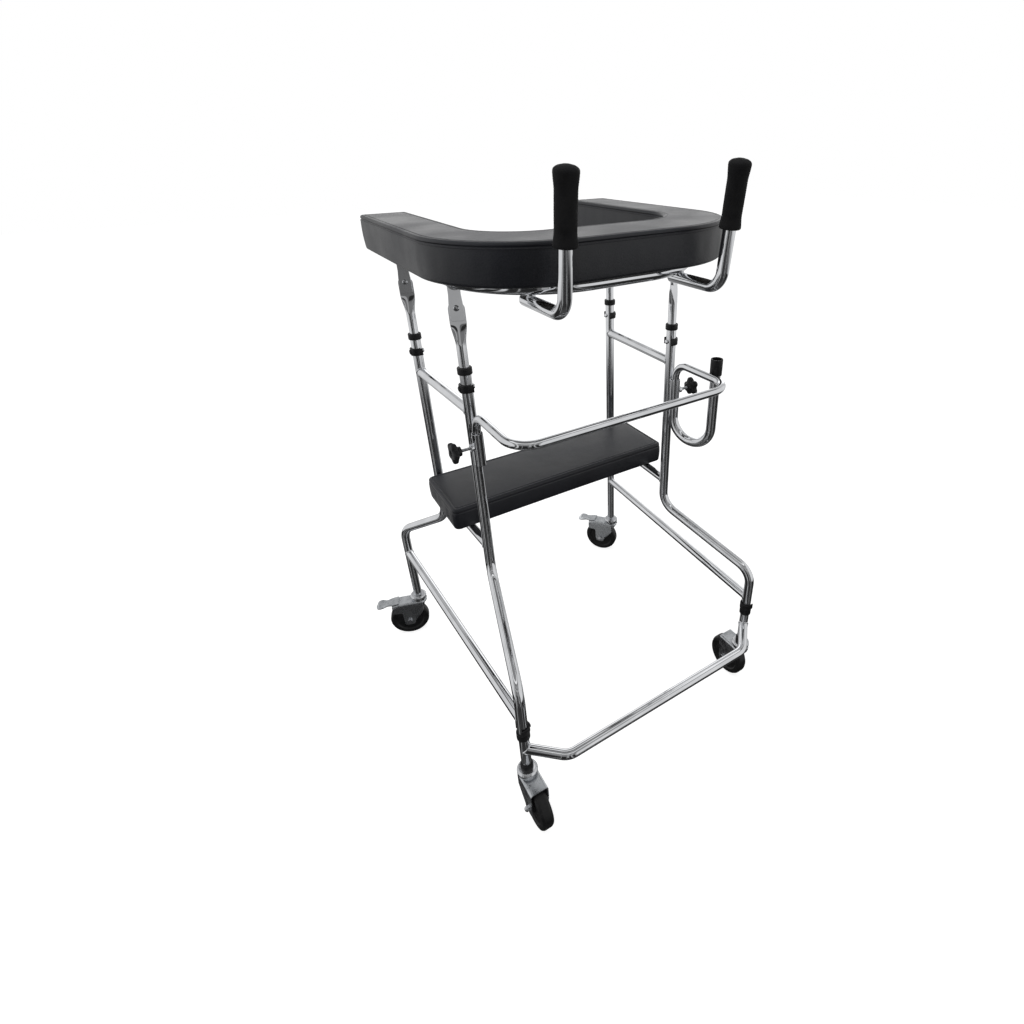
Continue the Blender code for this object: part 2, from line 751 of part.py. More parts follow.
def build_inner_tube(leg, root, chrome):
    """Telescoping tube: round and hollow below, pressed flat and riveted at its top."""
    bore_r = INNER_OD / 2 - INNER_WALL
    outer = [
        flattened_ring(INNER_END_Z, 0),
        flattened_ring(TAPER_START_Z, 0),
        flattened_ring((TAPER_START_Z + FLAT_START_Z) / 2, 0.5),
        flattened_ring(FLAT_START_Z, 1),
        flattened_ring(FLAT_TOP_Z - FLAT_HALF_WIDTH * 0.5, 1),
        flattened_ring(FLAT_TOP_Z - FLAT_HALF_WIDTH * 0.15, 1, 0.75),
        flattened_ring(FLAT_TOP_Z, 1, 0.35),
    ]
    solid = loft(outer)
    name = f"{leg.name}_inner_tube"
    tube = make_object(name, solid, chrome, root, leg.at_post(0))
    bore = cylinder(bore_r, INNER_END_Z - INNER_WALL, TAPER_START_Z - bore_r)
    apply_boolean(tube, bore, "DIFFERENCE")
    flat_face = FLAT_THICKNESS / 2
    tab_face = flat_face + GAP + TAB_THICKNESS + GAP
    rivet_profile = [
        (RIVET_HEAD_R * 0.5, -tab_face - RIVET_HEAD_HEIGHT),
        (RIVET_HEAD_R * 0.9, -tab_face - RIVET_HEAD_HEIGHT * 0.7),
        (RIVET_HEAD_R, -tab_face),
        (RIVET_R, -tab_face),
        (RIVET_R, 0),
        (RIVET_HEAD_R, 0),
        (RIVET_HEAD_R, flat_face + RIVET_HEAD_HEIGHT),
    ]
    rearward = Vector((0, 1, 0))
    rivet = turn_profile(rivet_profile, 8)
    apply_boolean(tube, rivet, "UNION", (0, 0, RIVET_Z), aim(rearward))
    outward = Vector((leg.side, 0, 0))
    for index in range(HOLE_COUNT):
        height = CLIP_Z - index * HOLE_PITCH
        hole = cylinder(PIN_R + GAP, 0, INNER_OD, 6)
        apply_boolean(tube, hole, "DIFFERENCE", (0, 0, height), aim(outward))


def arm_tube_x(y):
    """Half width of the armrest frame at y: its arms run over the posts."""
    share = (y - FRONT_POST_Y) / (REAR_POST_Y - FRONT_POST_Y)
    return FRONT_POST_X + (REAR_POST_X - FRONT_POST_X) * share


def build_armrest_frame(legs, root, chrome):
    """Horseshoe tube under the pad, with a riveted tab down in front of each inner tube."""
    front_x = arm_tube_x(ARM_FRONT_Y)
    rear_x = arm_tube_x(ARM_REAR_Y)
    corners = [
        Vector((-rear_x, ARM_REAR_Y, ARM_TUBE_Z)),
        Vector((-front_x, ARM_FRONT_Y, ARM_TUBE_Z)),
        Vector((front_x, ARM_FRONT_Y, ARM_TUBE_Z)),
        Vector((rear_x, ARM_REAR_Y, ARM_TUBE_Z)),
    ]
    path = fillet_path(corners, ARM_CORNER_R, WIDE_BEND_STEPS + 1)
    frame = make_object("armrest_frame", rod(path, TUBE_OD / 2, TUBE_SIDES), chrome, root)
    half = TAB_WIDTH / 2
    low_half = TAB_LOW_WIDTH / 2
    drop = ARM_TUBE_Z - TAB_END_Z - low_half
    outline = [(-half, 0), (half, 0)] + arc(0, drop, low_half, 0, 180, 6)
    hang_down = Matrix(((1, 0, 0), (0, 0, 1), (0, -1, 0))).to_euler()
    for leg in legs:
        y = leg.post.y - FLAT_THICKNESS / 2 - GAP - TAB_THICKNESS / 2
        tab = prism(outline, -TAB_THICKNESS / 2, TAB_THICKNESS / 2)
        apply_boolean(frame, tab, "UNION", (leg.post.x, y, ARM_TUBE_Z), hang_down)
        hole = cylinder(RIVET_R + GAP, -TAB_THICKNESS, TAB_THICKNESS, 8)
        apply_boolean(frame, hole, "DIFFERENCE", (leg.post.x, y, RIVET_Z), aim(Vector((0, 1, 0))))


def horseshoe_stations(inset):
    """Pairs of outer and inner points along the horseshoe, from one arm's end to the other's."""
    outer_x = PAD_HALF_WIDTH - inset
    inner_x = PAD_HALF_OPENING + inset
    outer_y = PAD_FRONT_Y + inset
    inner_y = PAD_INNER_FRONT_Y - inset
    outer_r = PAD_OUTER_R - inset
    inner_r = PAD_INNER_R + inset
    rear = PAD_REAR_Y - inset
    pairs = [((-outer_x, rear), (-inner_x, rear))]
    outer_arc = arc(-outer_x + outer_r, outer_y + outer_r, outer_r, 180, 270, PAD_CORNER_STEPS)
    inner_arc = arc(-inner_x + inner_r, inner_y + inner_r, inner_r, 180, 270, PAD_CORNER_STEPS)
    pairs += list(zip(outer_arc, inner_arc))
    mirrored = [((-ox, oy), (-ix, iy)) for (ox, oy), (ix, iy) in reversed(pairs)]
    return pairs + mirrored


def pad_section(outer, inner, shrink=0.0):
    """Cross section of the pad between its outer and inner edge, drawn in and crowned."""
    across = inner - outer
    width = across.length
    across.normalize()
    top = PAD_HEIGHT - PAD_CROWN
    side = [
        (PAD_DRAW_IN + PAD_HEM, 0.0),
        (PAD_DRAW_IN, PAD_HEM * 2),
        (0.0, PAD_HEIGHT * 0.4),
        (PAD_DRAW_IN, top - PIPING_DROP - PIPING_R),
        (PAD_DRAW_IN - PIPING_R, top - PIPING_DROP),
        (PAD_DRAW_IN, top - PIPING_DROP + PIPING_R),
        (PAD_EDGE_R * CUSHION_ROUND_SHARE, top - PAD_EDGE_R * CUSHION_ROUND_SHARE),
        (PAD_EDGE_R, top),
    ]
    crown = []
    for share in (0.3, 0.5, 0.7):
        crown.append((width * share, top + PAD_CROWN * math.sin(math.pi * share)))
    falling = [(width - offset, height) for offset, height in reversed(side)]
    bottom = ARM_TUBE_Z + TUBE_OD / 2 + PAD_TUBE_GAP
    points = []
    for offset, height in side + crown + falling:
        point = outer + across * min(max(offset, shrink), width - shrink)
        height = min(max(height, shrink), PAD_HEIGHT - shrink)
        points.append(Vector((point.x, point.y, bottom + height)))
    return points


def pad_end(outer, inner):
    """Rings that round off an arm's end, from its face to the full section."""
    rings = []
    for share, back in ((1.0, 0.0), (0.3, 0.3), (0.0, 1.0)):
        ring = pad_section(outer, inner, PAD_END_ROUND * share)
        for point in ring:
            point.y -= PAD_END_ROUND * back
        rings.append(ring)
    return rings


def build_armrest_pad(root, vinyl, wood):
    """Horseshoe pad with piping round its top edge, on a board that lies on the frame."""
    stations = [(Vector((*a, 0)), Vector((*b, 0))) for a, b in horseshoe_stations(0.0)]
    rings = pad_end(*stations[0])
    rings += [pad_section(*station) for station in stations[1:-1]]
    rings += pad_end(*stations[-1])[::-1]
    pad = make_object("armrest_pad", loft(rings), vinyl, root)
    board_bottom = ARM_TUBE_Z + TUBE_OD / 2 + GAP
    board_top = board_bottom + PAD_BOARD_THICKNESS

    def board_outline(inset):
        pairs = horseshoe_stations(inset)
        return [outer for outer, _ in pairs] + [inner for _, inner in reversed(pairs)]

    board = prism(board_outline(PAD_BOARD_INSET), board_bottom, board_top)
    make_object("armrest_board", board, wood, root)
    pocket = prism(board_outline(PAD_BOARD_INSET - GAP), board_bottom - PAD_HEIGHT, board_top + GAP)
    apply_boolean(pad, pocket, "DIFFERENCE")


def handle_direction():
    """Direction of the upright part of a handle, leaning away from the user."""
    return Vector((0, -math.sin(HANDLE_LEAN), math.cos(HANDLE_LEAN)))


def handle_corner(side):
    """Corner of a handle's bend, at the height of the stretch below the armrest frame."""
    return Vector((side * HANDLE_X, HANDLE_BEND_Y, ARM_TUBE_Z - TUBE_OD - GAP))


def build_handle(side_name, side, root, chrome, foam):
    """Handle tube under the armrest frame, bent up in front of the pad, with its foam grip."""
    corner = handle_corner(side)
    start = Vector((corner.x, HANDLE_INNER_Y, corner.z))
    base = corner + handle_direction() * GRIP_LIFT
    top = base + handle_direction() * (GRIP_LENGTH - GRIP_END_WALL - GAP)
    path = fillet_path([start, corner, top], HANDLE_BEND_R, WIDE_BEND_STEPS)
    make_object(f"handle_{side_name}", rod(path, TUBE_OD / 2, TUBE_SIDES), chrome, root)
    bore_r = TUBE_OD / 2 + GAP
    profile = [
        (bore_r, GRIP_LENGTH - GRIP_END_WALL),
        (bore_r, 0.0),
        (GRIP_FLARE_R - GRIP_EDGE / 2, 0.0),
        (GRIP_FLARE_R, GRIP_EDGE),
        (GRIP_R, GRIP_SKIRT),
        (GRIP_R + GRIP_WAIST_SWELL, GRIP_LENGTH / 2),
        (GRIP_R, GRIP_LENGTH - GRIP_HEAD),
        (GRIP_FLARE_R, GRIP_LENGTH - GRIP_HEAD * 0.4),
        (GRIP_FLARE_R - GRIP_EDGE, GRIP_LENGTH - GRIP_EDGE),
        (GRIP_FLARE_R * 0.6, GRIP_LENGTH),
    ]
    grip = turn_profile(profile, TUBE_SIDES)
    make_object(f"grip_{side_name}", grip, foam, root, base, aim(handle_direction()))


# Casters, each built round its swivel axis with the wheel trailing to +X


def wheel_centre():
    """Wheel centre in the caster's frame, with a flat of the faceted tread on the floor."""
    return Vector((TRAIL, 0, WHEEL_R * math.cos(math.pi / WHEEL_SIDES)))


def build_stem(leg, empty, steel):
    """Plug in the foot's tube, cup race below it and the king pin through the fork."""
    if leg.braked:
        plug_r = TUBE_OD / 2 - TUBE_WALL - GAP
        profile = [(plug_r, CASTER_TOP_Z)]
        plug_top = CASTER_TOP_Z + PLUG_DEPTH
    else:
        plug_r = INNER_OD / 2 - INNER_WALL - GAP
        ring_top = PLUG_END_Z - GAP
        profile = [(plug_r, ring_top), (RING_R, ring_top), (RING_R, CASTER_TOP_Z)]
        plug_top = ring_top + PLUG_DEPTH
    head_top = FORK_TOP_Z - FORK_SHEET - GAP
    chamfer = STEM_CHAMFER
    profile = [(plug_r - chamfer, plug_top), (plug_r, plug_top - 2 * chamfer)] + profile
    profile += [
        (CUP_RACE_R - 2 * chamfer, CASTER_TOP_Z),
        (CUP_RACE_R, CASTER_TOP_Z - 3 * chamfer),
        (CUP_RACE_R, CUP_RACE_Z + chamfer),
        (CUP_RACE_R - chamfer, CUP_RACE_Z),
        (KING_PIN_R, CUP_RACE_Z),
        (KING_PIN_R, head_top),
        (KING_HEAD_R, head_top),
        (KING_HEAD_R, head_top - KING_HEAD_HEIGHT),
    ]
    stem = turn_profile(profile, SLIM_SIDES)
    make_object(f"{leg.name}_caster_stem", stem, steel, empty)


def fork_outline(reach):
    """Side view of the fork: broad shoulders that taper to the axle eye."""
    centre = wheel_centre()
    back = -FORK_REACH_BACK - GAP
    outline = [(back, FORK_TOP_Z), (back, FORK_TOP_Z - FORK_BACK_DROP)]
    outline += arc(centre.x, centre.z, FORK_EYE_R, 190, 360, 6)
    front = centre.x + FORK_EYE_R
    outline.append((front, FORK_SHOULDER_Z - FORK_THROAT))
    if reach > front + FORK_STEP:
        outline.append((front + FORK_STEP, FORK_SHOULDER_Z))
        outline.append((reach, FORK_SHOULDER_Z + FORK_FOLD))
    outline.append((reach, FORK_TOP_Z))
    return outline


def build_fork(leg, empty, zinc):
    """Pressed fork: a channel cut to its side view and round at the back, with race and holes."""
    reach = FORK_REACH_BRAKED if leg.braked else FORK_REACH_PLAIN
    inner = FORK_INNER_WIDTH / 2
    outer = inner + FORK_SHEET
    top = FORK_TOP_Z
    under = top - FORK_SHEET
    low = wheel_centre().z - 2 * FORK_EYE_R
    fold = FORK_FOLD
    section = [(-outer, low), (-inner, low), (-inner, under), (inner, under)]
    section += [(inner, low), (outer, low), (outer, top - fold), (outer - fold, top)]
    section += [(-outer + fold, top), (-outer, top - fold)]
    rings = [[Vector((x, y, z)) for y, z in section] for x in (-FORK_REACH_BACK - 2 * GAP, reach)]
    fork = make_object(f"{leg.name}_fork", loft(rings), zinc, empty)
    wide = outer + GAP
    side_view = fork_outline(reach + GAP)
    shape = loft([[Vector((x, y, z + GAP * (z >= top))) for x, z in side_view] for y in (-wide, wide)])
    apply_boolean(fork, shape, "INTERSECT")
    plan = arc(0, 0, FORK_REACH_BACK, 180 - FORK_BACK_TURN, 180 + FORK_BACK_TURN, 6)
    plan += [(reach + GAP, -wide), (reach + GAP, wide)]
    apply_boolean(fork, prism(plan, 0, top + 2 * GAP), "INTERSECT")
    race_top = CUP_RACE_Z - GAP
    race_profile = [(RACE_R, under + GAP), (RACE_R, race_top - STEM_CHAMFER)]
    race_profile.append((RACE_R - STEM_CHAMFER, race_top))
    apply_boolean(fork, turn_profile(race_profile, TUBE_SIDES), "UNION")
    bore = cylinder(KING_PIN_R + GAP, FORK_SHOULDER_Z, CASTER_TOP_Z)
    apply_boolean(fork, bore, "DIFFERENCE")
    sideways = aim(Vector((0, 1, 0)))
    eye = cylinder(AXLE_R + GAP, -2 * outer, 2 * outer)
    apply_boolean(fork, eye, "DIFFERENCE", wheel_centre(), sideways)
    if leg.braked:
        pivot = Vector((PEDAL_PIVOT_X, 0, PEDAL_PIVOT_Z))
        hole = cylinder(PEDAL_PIN_R + GAP, -2 * outer, 2 * outer, 10)
        apply_boolean(fork, hole, "DIFFERENCE", pivot, sideways)
        clear = PEDAL_HUB_R + 2 * GAP
        start = PEDAL_PIVOT_X - clear
        end = reach + FORK_STEP
        window = [(start, top - FORK_STEP), (end, top - FORK_STEP)]
        window += [(end, top + FORK_STEP), (start, top + FORK_STEP)]
        opening = loft([[Vector((x, y, z)) for x, z in window] for y in (-inner, inner)])
        apply_boolean(fork, opening, "DIFFERENCE")


def build_wheel(leg, empty, rubber):
    """Wheel with a rounded tread, a recessed web on both sides and a bored hub."""
    half = WHEEL_WIDTH / 2
    side = [
        (AXLE_R + GAP, half),
        (HUB_R, half),
        (HUB_R, half - WEB_RECESS),
        (RIM_R, half - WEB_RECESS),
        (RIM_R + WEB_RECESS, half),
        (WHEEL_R - TREAD_ROUND, half),
        (WHEEL_R, half - TREAD_ROUND),
    ]
    profile = side + [(radius, -height) for radius, height in reversed(side)]
    wheel = turn_profile(profile, WHEEL_SIDES, closed=True)
    sideways = aim(Vector((0, 1, 0)))
    make_object(f"{leg.name}_wheel", wheel, rubber, empty, wheel_centre(), sideways)


def build_axle(leg, empty, steel):
    """Axle bolt with a hexagon head on one side of the fork and a nut on the other."""
    face = FORK_INNER_WIDTH / 2 + FORK_SHEET + GAP

    def ring(radius, height, hexagonal):
        points = []
        for step in range(12):
            angle = math.pi * step / 6
            stretch = math.cos(math.pi / 6) if hexagonal and step % 2 else 1.0
            reach = radius * stretch
            points.append(Vector((reach * math.cos(angle), reach * math.sin(angle), height)))
        return points

    outside = face + AXLE_HEAD_THICKNESS
    rings = [
        ring(AXLE_HEAD_R, -outside, True),
        ring(AXLE_HEAD_R, -face, True),
        ring(AXLE_R, -face, False),
        ring(AXLE_R, face, False),
        ring(AXLE_HEAD_R, face, True),
        ring(AXLE_HEAD_R, outside, True),
    ]
    sideways = aim(Vector((0, 1, 0)))
    make_object(f"{leg.name}_axle", loft(rings), steel, empty, wheel_centre(), sideways)


def build_pedal(leg, empty, zinc):
    """Brake lever on a cross pin, with a shoe over the tread and a toe plate beyond the fork."""
    pivot = Vector((PEDAL_PIVOT_X, 0, PEDAL_PIVOT_Z))
    centre = wheel_centre()
    to_wheel = centre - pivot
    wheel_angle = math.degrees(math.atan2(to_wheel.z, to_wheel.x)) % 360
    face = []
    for spread in SHOE_SPREAD:
        along = to_wheel.length * math.cos(math.radians(spread))
        aside = to_wheel.length * math.sin(math.radians(spread))
        reach = along - math.sqrt((WHEEL_R + GAP) ** 2 - aside**2)
        angle = math.radians(wheel_angle + spread + PEDAL_PRESS)
        face.append((reach * math.cos(angle), reach * math.sin(angle)))
    toe = PEDAL_TOE_X - PEDAL_PIVOT_X
    knee = toe * 0.55
    sheet = PEDAL_SHEET
    upper = PEDAL_HUB_R
    first = wheel_angle + PEDAL_PRESS
    outline = arc(0, 0, PEDAL_HUB_R, 90, first, 6) + face
    outline += arc(0, 0, PEDAL_HUB_R, first + SHOE_SPREAD[-1] + 20, 360, 2)
    outline += [
        (knee * 0.5, upper - sheet * 2),
        (knee, upper - PEDAL_TOE_DROP - sheet),
        (toe, upper - PEDAL_TOE_DROP - sheet * 1.6),
        (toe, upper - PEDAL_TOE_DROP - sheet * 0.6),
        (knee + sheet * 0.4, upper - PEDAL_TOE_DROP),
        (knee * 0.5, upper - sheet),
        (knee * 0.25, upper),
    ]
    half = PEDAL_WIDTH / 2
    body = loft([[Vector((x, y, z)) for x, z in outline] for y in (-half, half)])
    pedal = make_object(f"{leg.name}_brake_pedal", body, zinc, empty, pivot)
    reach = FORK_INNER_WIDTH / 2 + FORK_SHEET + STEM_CHAMFER
    pin = cylinder(PEDAL_PIN_R, -reach, reach, 10)
    apply_boolean(pedal, pin, "UNION", rotation=aim(Vector((0, 1, 0))))


def build_caster(leg, root, steel, zinc, rubber):
    """One caster under a foot, turned to its heading."""
    name = f"{leg.name}_caster"
    empty = make_empty(name, root, (leg.foot.x, leg.foot.y, 0), leg.heading)
    build_stem(leg, empty, steel)
    build_fork(leg, empty, zinc)
    build_wheel(leg, empty, rubber)
    build_axle(leg, empty, steel)
    if leg.braked:
        build_pedal(leg, empty, zinc)


def centre_on_footprint(root):
    """Move the walker so that its box stands centred on the world origin."""
    bpy.context.view_layer.update()
    points = []
    for obj in bpy.data.objects:
        if obj.type == "MESH" and not obj.hide_render:
            points += [obj.matrix_world @ vertex.co for vertex in obj.data.vertices]
    low = [min(point[axis] for point in points) for axis in range(3)]
    high = [max(point[axis] for point in points) for axis in range(3)]
    root.location = (-(low[0] + high[0]) / 2, -(low[1] + high[1]) / 2, -low[2])
    bpy.context.view_layer.update()


def main():
    """Build the walker and stand it on the origin."""
    clear_scene()
    chrome = make_material("chrome", (0.82, 0.83, 0.85), 0.12, 1.0)
    steel = make_material("bright_steel", (0.70, 0.71, 0.73), 0.25, 1.0)
    zinc = make_material("zinc_plate", (0.55, 0.58, 0.62), 0.40, 1.0)
    plastic = make_material("black_plastic", (0.015, 0.015, 0.016), 0.45)
    rubber = make_material("black_rubber", (0.012, 0.012, 0.013), 0.70)
    vinyl = make_material("black_vinyl", (0.020, 0.020, 0.022), 0.50)
    foam = make_material("black_foam", (0.013, 0.013, 0.014), 0.85)
    wood = make_material("plywood", (0.045, 0.038, 0.033), 0.70)
    root = make_empty("walker")
    legs = make_legs()
    front_left, front_right, rear_left, rear_right = legs
    for leg in legs:
        build_leg(leg, root, chrome)
        build_collars(leg, root, plastic)
        build_clips(leg, root, plastic)
        build_inner_tube(leg, root, chrome)
        build_caster(leg, root, steel, zinc, rubber)
    build_side_bars(front_left, rear_left, "left", root, chrome)
    build_side_bars(front_right, rear_right, "right", root, chrome)
    build_front_bow(front_left, front_right, root, chrome)
    build_seat(root, vinyl, wood)
    build_left_socket(front_left, root, chrome)
    build_cane_holder(front_right, root, chrome, rubber)
    build_guard_bar(front_left, front_right, root, chrome)
    build_knob(front_left, "left", root, plastic)
    build_knob(front_right, "right", root, plastic)
    build_armrest_frame(legs, root, chrome)
    build_armrest_pad(root, vinyl, wood)
    build_handle("left", -1, root, chrome, foam)
    build_handle("right", 1, root, chrome, foam)
    centre_on_footprint(root)


main()
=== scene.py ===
"""Looks of the forearm support walker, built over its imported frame.

Each sub-assembly is a class that holds its sizes in metres, works its surfaces out with numpy and
dresses them in its finishes. Points are worked out about the walker's own middle line, with the
floor at height 0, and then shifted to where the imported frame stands. The walker faces -Y and its
left side is at -X.
"""

import json
import logging
import math
from collections.abc import Sequence
from dataclasses import dataclass
from enum import Enum
from functools import reduce

import bmesh
import bpy
import numpy as np
from mathutils import Matrix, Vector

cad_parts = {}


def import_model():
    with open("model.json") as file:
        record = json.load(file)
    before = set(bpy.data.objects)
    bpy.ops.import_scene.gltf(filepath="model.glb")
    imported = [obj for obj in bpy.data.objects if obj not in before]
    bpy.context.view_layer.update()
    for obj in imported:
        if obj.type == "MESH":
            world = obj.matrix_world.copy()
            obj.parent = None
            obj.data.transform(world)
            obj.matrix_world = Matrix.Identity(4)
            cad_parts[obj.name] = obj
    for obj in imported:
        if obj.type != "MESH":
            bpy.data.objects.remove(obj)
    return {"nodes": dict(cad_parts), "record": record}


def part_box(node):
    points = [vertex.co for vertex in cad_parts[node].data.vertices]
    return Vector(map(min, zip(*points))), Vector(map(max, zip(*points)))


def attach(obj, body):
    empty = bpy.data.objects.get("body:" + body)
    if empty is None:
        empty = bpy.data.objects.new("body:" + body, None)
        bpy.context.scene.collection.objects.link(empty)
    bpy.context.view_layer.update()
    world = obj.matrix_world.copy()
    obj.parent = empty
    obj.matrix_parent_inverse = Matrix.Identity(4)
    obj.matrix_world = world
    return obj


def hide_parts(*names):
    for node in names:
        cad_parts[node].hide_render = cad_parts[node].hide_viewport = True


LOG = logging.getLogger("walker")
Array = np.ndarray
Socket = bpy.types.NodeSocket

# Outer radii and wall of the tubes, and the clearance between pieces that touch or slide
TUBE_R = 0.01025
TUBE_WALL = 0.001
INNER_R = 0.00875
BAR_R = 0.00975
BOW_R = 0.0100
GUARD_R = 0.00775
GAP = 0.0003

# Sides of a tube's and of a bead's circle, the share of a wall that its rim takes, the distance
# under which two points are one, and the degrees from which an edge is drawn sharp
ROUND = 48
BEAD_ROUND = 10
RIM_SHARE = 0.35
MERGE = 1e-6
SHARP = 38

# Heights and thicknesses that two sub-assemblies share
POST_TOP_Z = 0.852
CLIP_Z = 0.818
FLAT_THICKNESS = 0.0026
TAB_THICKNESS = 0.003

# The turn of the bolted flats, straight up, and a direction that no tube runs along
FLAT_TURN = math.radians(22)
UP = (0.0, 0.0, 1.0)
SKEW = (0.28, 0.45, 0.85)


# Arrays of points


def unit(vectors: Array) -> Array:
    """Vectors of length one: each divided by its own length."""
    return vectors / np.linalg.norm(vectors, axis=-1, keepdims=True)


def smooth(share: Array) -> Array:
    """Ease from 0 to 1: three squares less two cubes of the share, held between 0 and 1."""
    held = np.clip(share, 0.0, 1.0)
    return held * held * (3 - 2 * held)


def circle(sides: int) -> Array:
    """Unit circle as (sides, 2): the cosine and the sine of evenly spaced angles."""
    angle = 2 * np.pi * (np.arange(sides) + 0.5) / sides
    return np.stack([np.cos(angle), np.sin(angle)], -1)


def fillets(before: Array, corner: Array, after: Array, radius: Array | float, steps: int) -> Array:
    """Arcs that touch both sides of each corner.

    The centre lies on the corner's bisector at the radius over the sine of half its angle. The
    arc swings between the two spokes, each weighted by the sine of the turn that is left.

    Args:
        before: points before each corner, (n, dimensions).
        corner: the corners.
        after: points after each corner.
        radius: one radius, or one for each corner.
        steps: spans of each arc.

    Returns:
        The arcs' points, corner after corner, (n * (steps + 1), dimensions).
    """
    back = unit(before - corner)
    ahead = unit(after - corner)
    half = np.arccos(np.clip((back * ahead).sum(-1, keepdims=True), -1, 1)) / 2
    size = np.broadcast_to(np.asarray(radius, float).reshape(-1, 1), half.shape)
    centre = corner + unit(back + ahead) * size / np.sin(half)
    first = corner + back * size / np.tan(half) - centre
    last = corner + ahead * size / np.tan(half) - centre
    turn = (np.pi - 2 * half)[:, None]
    share = np.linspace(0, 1, steps + 1)[None, :, None]
    arcs = np.sin((1 - share) * turn) * first[:, None] + np.sin(share * turn) * last[:, None]
    return (centre[:, None] + arcs / np.sin(turn)).reshape(-1, corner.shape[-1])


def rounded_path(corners: Sequence, radius: Array | float, steps: int = 14) -> Array:
    """Open line through corners, each inner corner rounded to an arc."""
    points = np.asarray(corners, float)
    bends = fillets(points[:-2], points[1:-1], points[2:], radius, steps)
    return np.concatenate([points[:1], bends, points[-1:]])


def rounded_loop(corners: Sequence, radius: Array | float, steps: int = 3) -> Array:
    """Closed outline through corners, every corner rounded to an arc."""
    points = np.asarray(corners, float)
    return fillets(np.roll(points, 1, 0), points, np.roll(points, -1, 0), radius, steps)


def trihedrals(path: Array, hint: Sequence, closed: bool = False) -> tuple[Array, Array, Array]:
    """Tangent, normal and across directions along a path.

    The tangent is the mean direction of the spans at each side of a point. The normal is square
    to it and to the hint, and the third direction is square to both.

    Args:
        path: the points, (n, 3).
        hint: a direction that the path never runs along.
        closed: whether the last point joins the first.

    Returns:
        Three arrays of directions, each (n, 3).
    """
    if closed:
        spans = unit(np.roll(path, -1, 0) - path)
        tangent = unit(spans + np.roll(spans, 1, 0))
    else:
        spans = unit(np.diff(path, axis=0))
        tangent = unit(np.vstack([spans[:1], spans[:-1] + spans[1:], spans[-1:]]))
    normal = unit(np.cross(np.asarray(hint, float), tangent))
    return tangent, normal, np.cross(tangent, normal)


@dataclass(frozen=True)
class Surface:
    """A piece's points, its four-sided faces, and the flat many-sided caps that close it."""

    points: Array
    quads: Array
    caps: tuple[tuple[int, ...], ...] = ()

    def moved(self, shift: Sequence) -> "Surface":
        """The surface shifted by (x, y, z)."""
        return Surface(self.points + np.asarray(shift, float), self.quads, self.caps)

    def turned(self, heading: float) -> "Surface":
        """The surface turned about Z by an angle in radians."""
        cos, sin = math.cos(heading), math.sin(heading)
        spin = np.array([[cos, sin, 0], [-sin, cos, 0], [0, 0, 1]])
        return Surface(self.points @ spin, self.quads, self.caps)

    def aimed(self, axis: Sequence, origin: Sequence = (0, 0, 0)) -> "Surface":
        """The surface with its own +Z laid along an axis and its middle put at a point."""
        z = unit(np.asarray(axis, float))
        x = unit(np.cross(UP if abs(z[2]) < 0.9 else (1.0, 0.0, 0.0), z))
        basis = np.stack([x, np.cross(z, x), z])
        return Surface(self.points @ basis + np.asarray(origin, float), self.quads, self.caps)

    def tipped(self, sense: int = 1) -> "Surface":
        """The surface with its Y and Z changed over, and the new Z turned round if it is -1."""
        return Surface(self.points[:, [0, 2, 1]] * [1, 1, sense], self.quads, self.caps)


def joined(parts: Sequence[Surface]) -> Surface:
    """Several surfaces as one piece."""
    starts = np.cumsum([0] + [len(part.points) for part in parts[:-1]])
    points = np.concatenate([part.points for part in parts])
    quads = np.concatenate([part.quads + start for part, start in zip(parts, starts)])
    caps = [tuple(int(i + s) for i in cap) for part, s in zip(parts, starts) for cap in part.caps]
    return Surface(points, quads, tuple(caps))


def ringed(grid: Array, closed: bool = False) -> Surface:
    """Surface over a grid of rings, each point joined to its neighbours round and along.

    Args:
        grid: points as (rings, sides, 3), where every ring closes on itself.
        closed: whether the last ring joins the first. If not, flat caps close both ends.

    Returns:
        The closed surface.
    """
    rings, sides = grid.shape[:2]
    index = np.arange(rings * sides).reshape(rings, sides)
    walk = np.vstack([index, index[:1]]) if closed else index
    low, high = walk[:-1], walk[1:]
    quads = np.stack([low, np.roll(low, -1, 1), np.roll(high, -1, 1), high], -1).reshape(-1, 4)
    caps = () if closed else (tuple(index[0][::-1].tolist()), tuple(index[-1].tolist()))
    return Surface(grid.reshape(-1, 3), quads, caps)


def sheeted(grid: Array) -> Surface:
    """Open sheet over a grid of points (rows, columns, 3)."""
    rows, columns = grid.shape[:2]
    index = np.arange(rows * columns).reshape(rows, columns)
    corners = [index[:-1, :-1], index[:-1, 1:], index[1:, 1:], index[1:, :-1]]
    return Surface(grid.reshape(-1, 3), np.stack(corners, -1).reshape(-1, 4))


def swept(path: Array, normal: Array, across: Array, ring: Array) -> Array:
    """Grid of a ring's points carried along a path, on its normal and across directions."""
    return path[:, None] + ring[..., :1] * normal[:, None] + ring[..., 1:] * across[:, None]


def rod(path: Array, radius: float, sides: int = ROUND) -> Surface:
    """Solid round bar: a circle of one radius carried along a path."""
    _, normal, across = trihedrals(path, SKEW)
    return ringed(swept(path, normal, across, circle(sides) * radius))


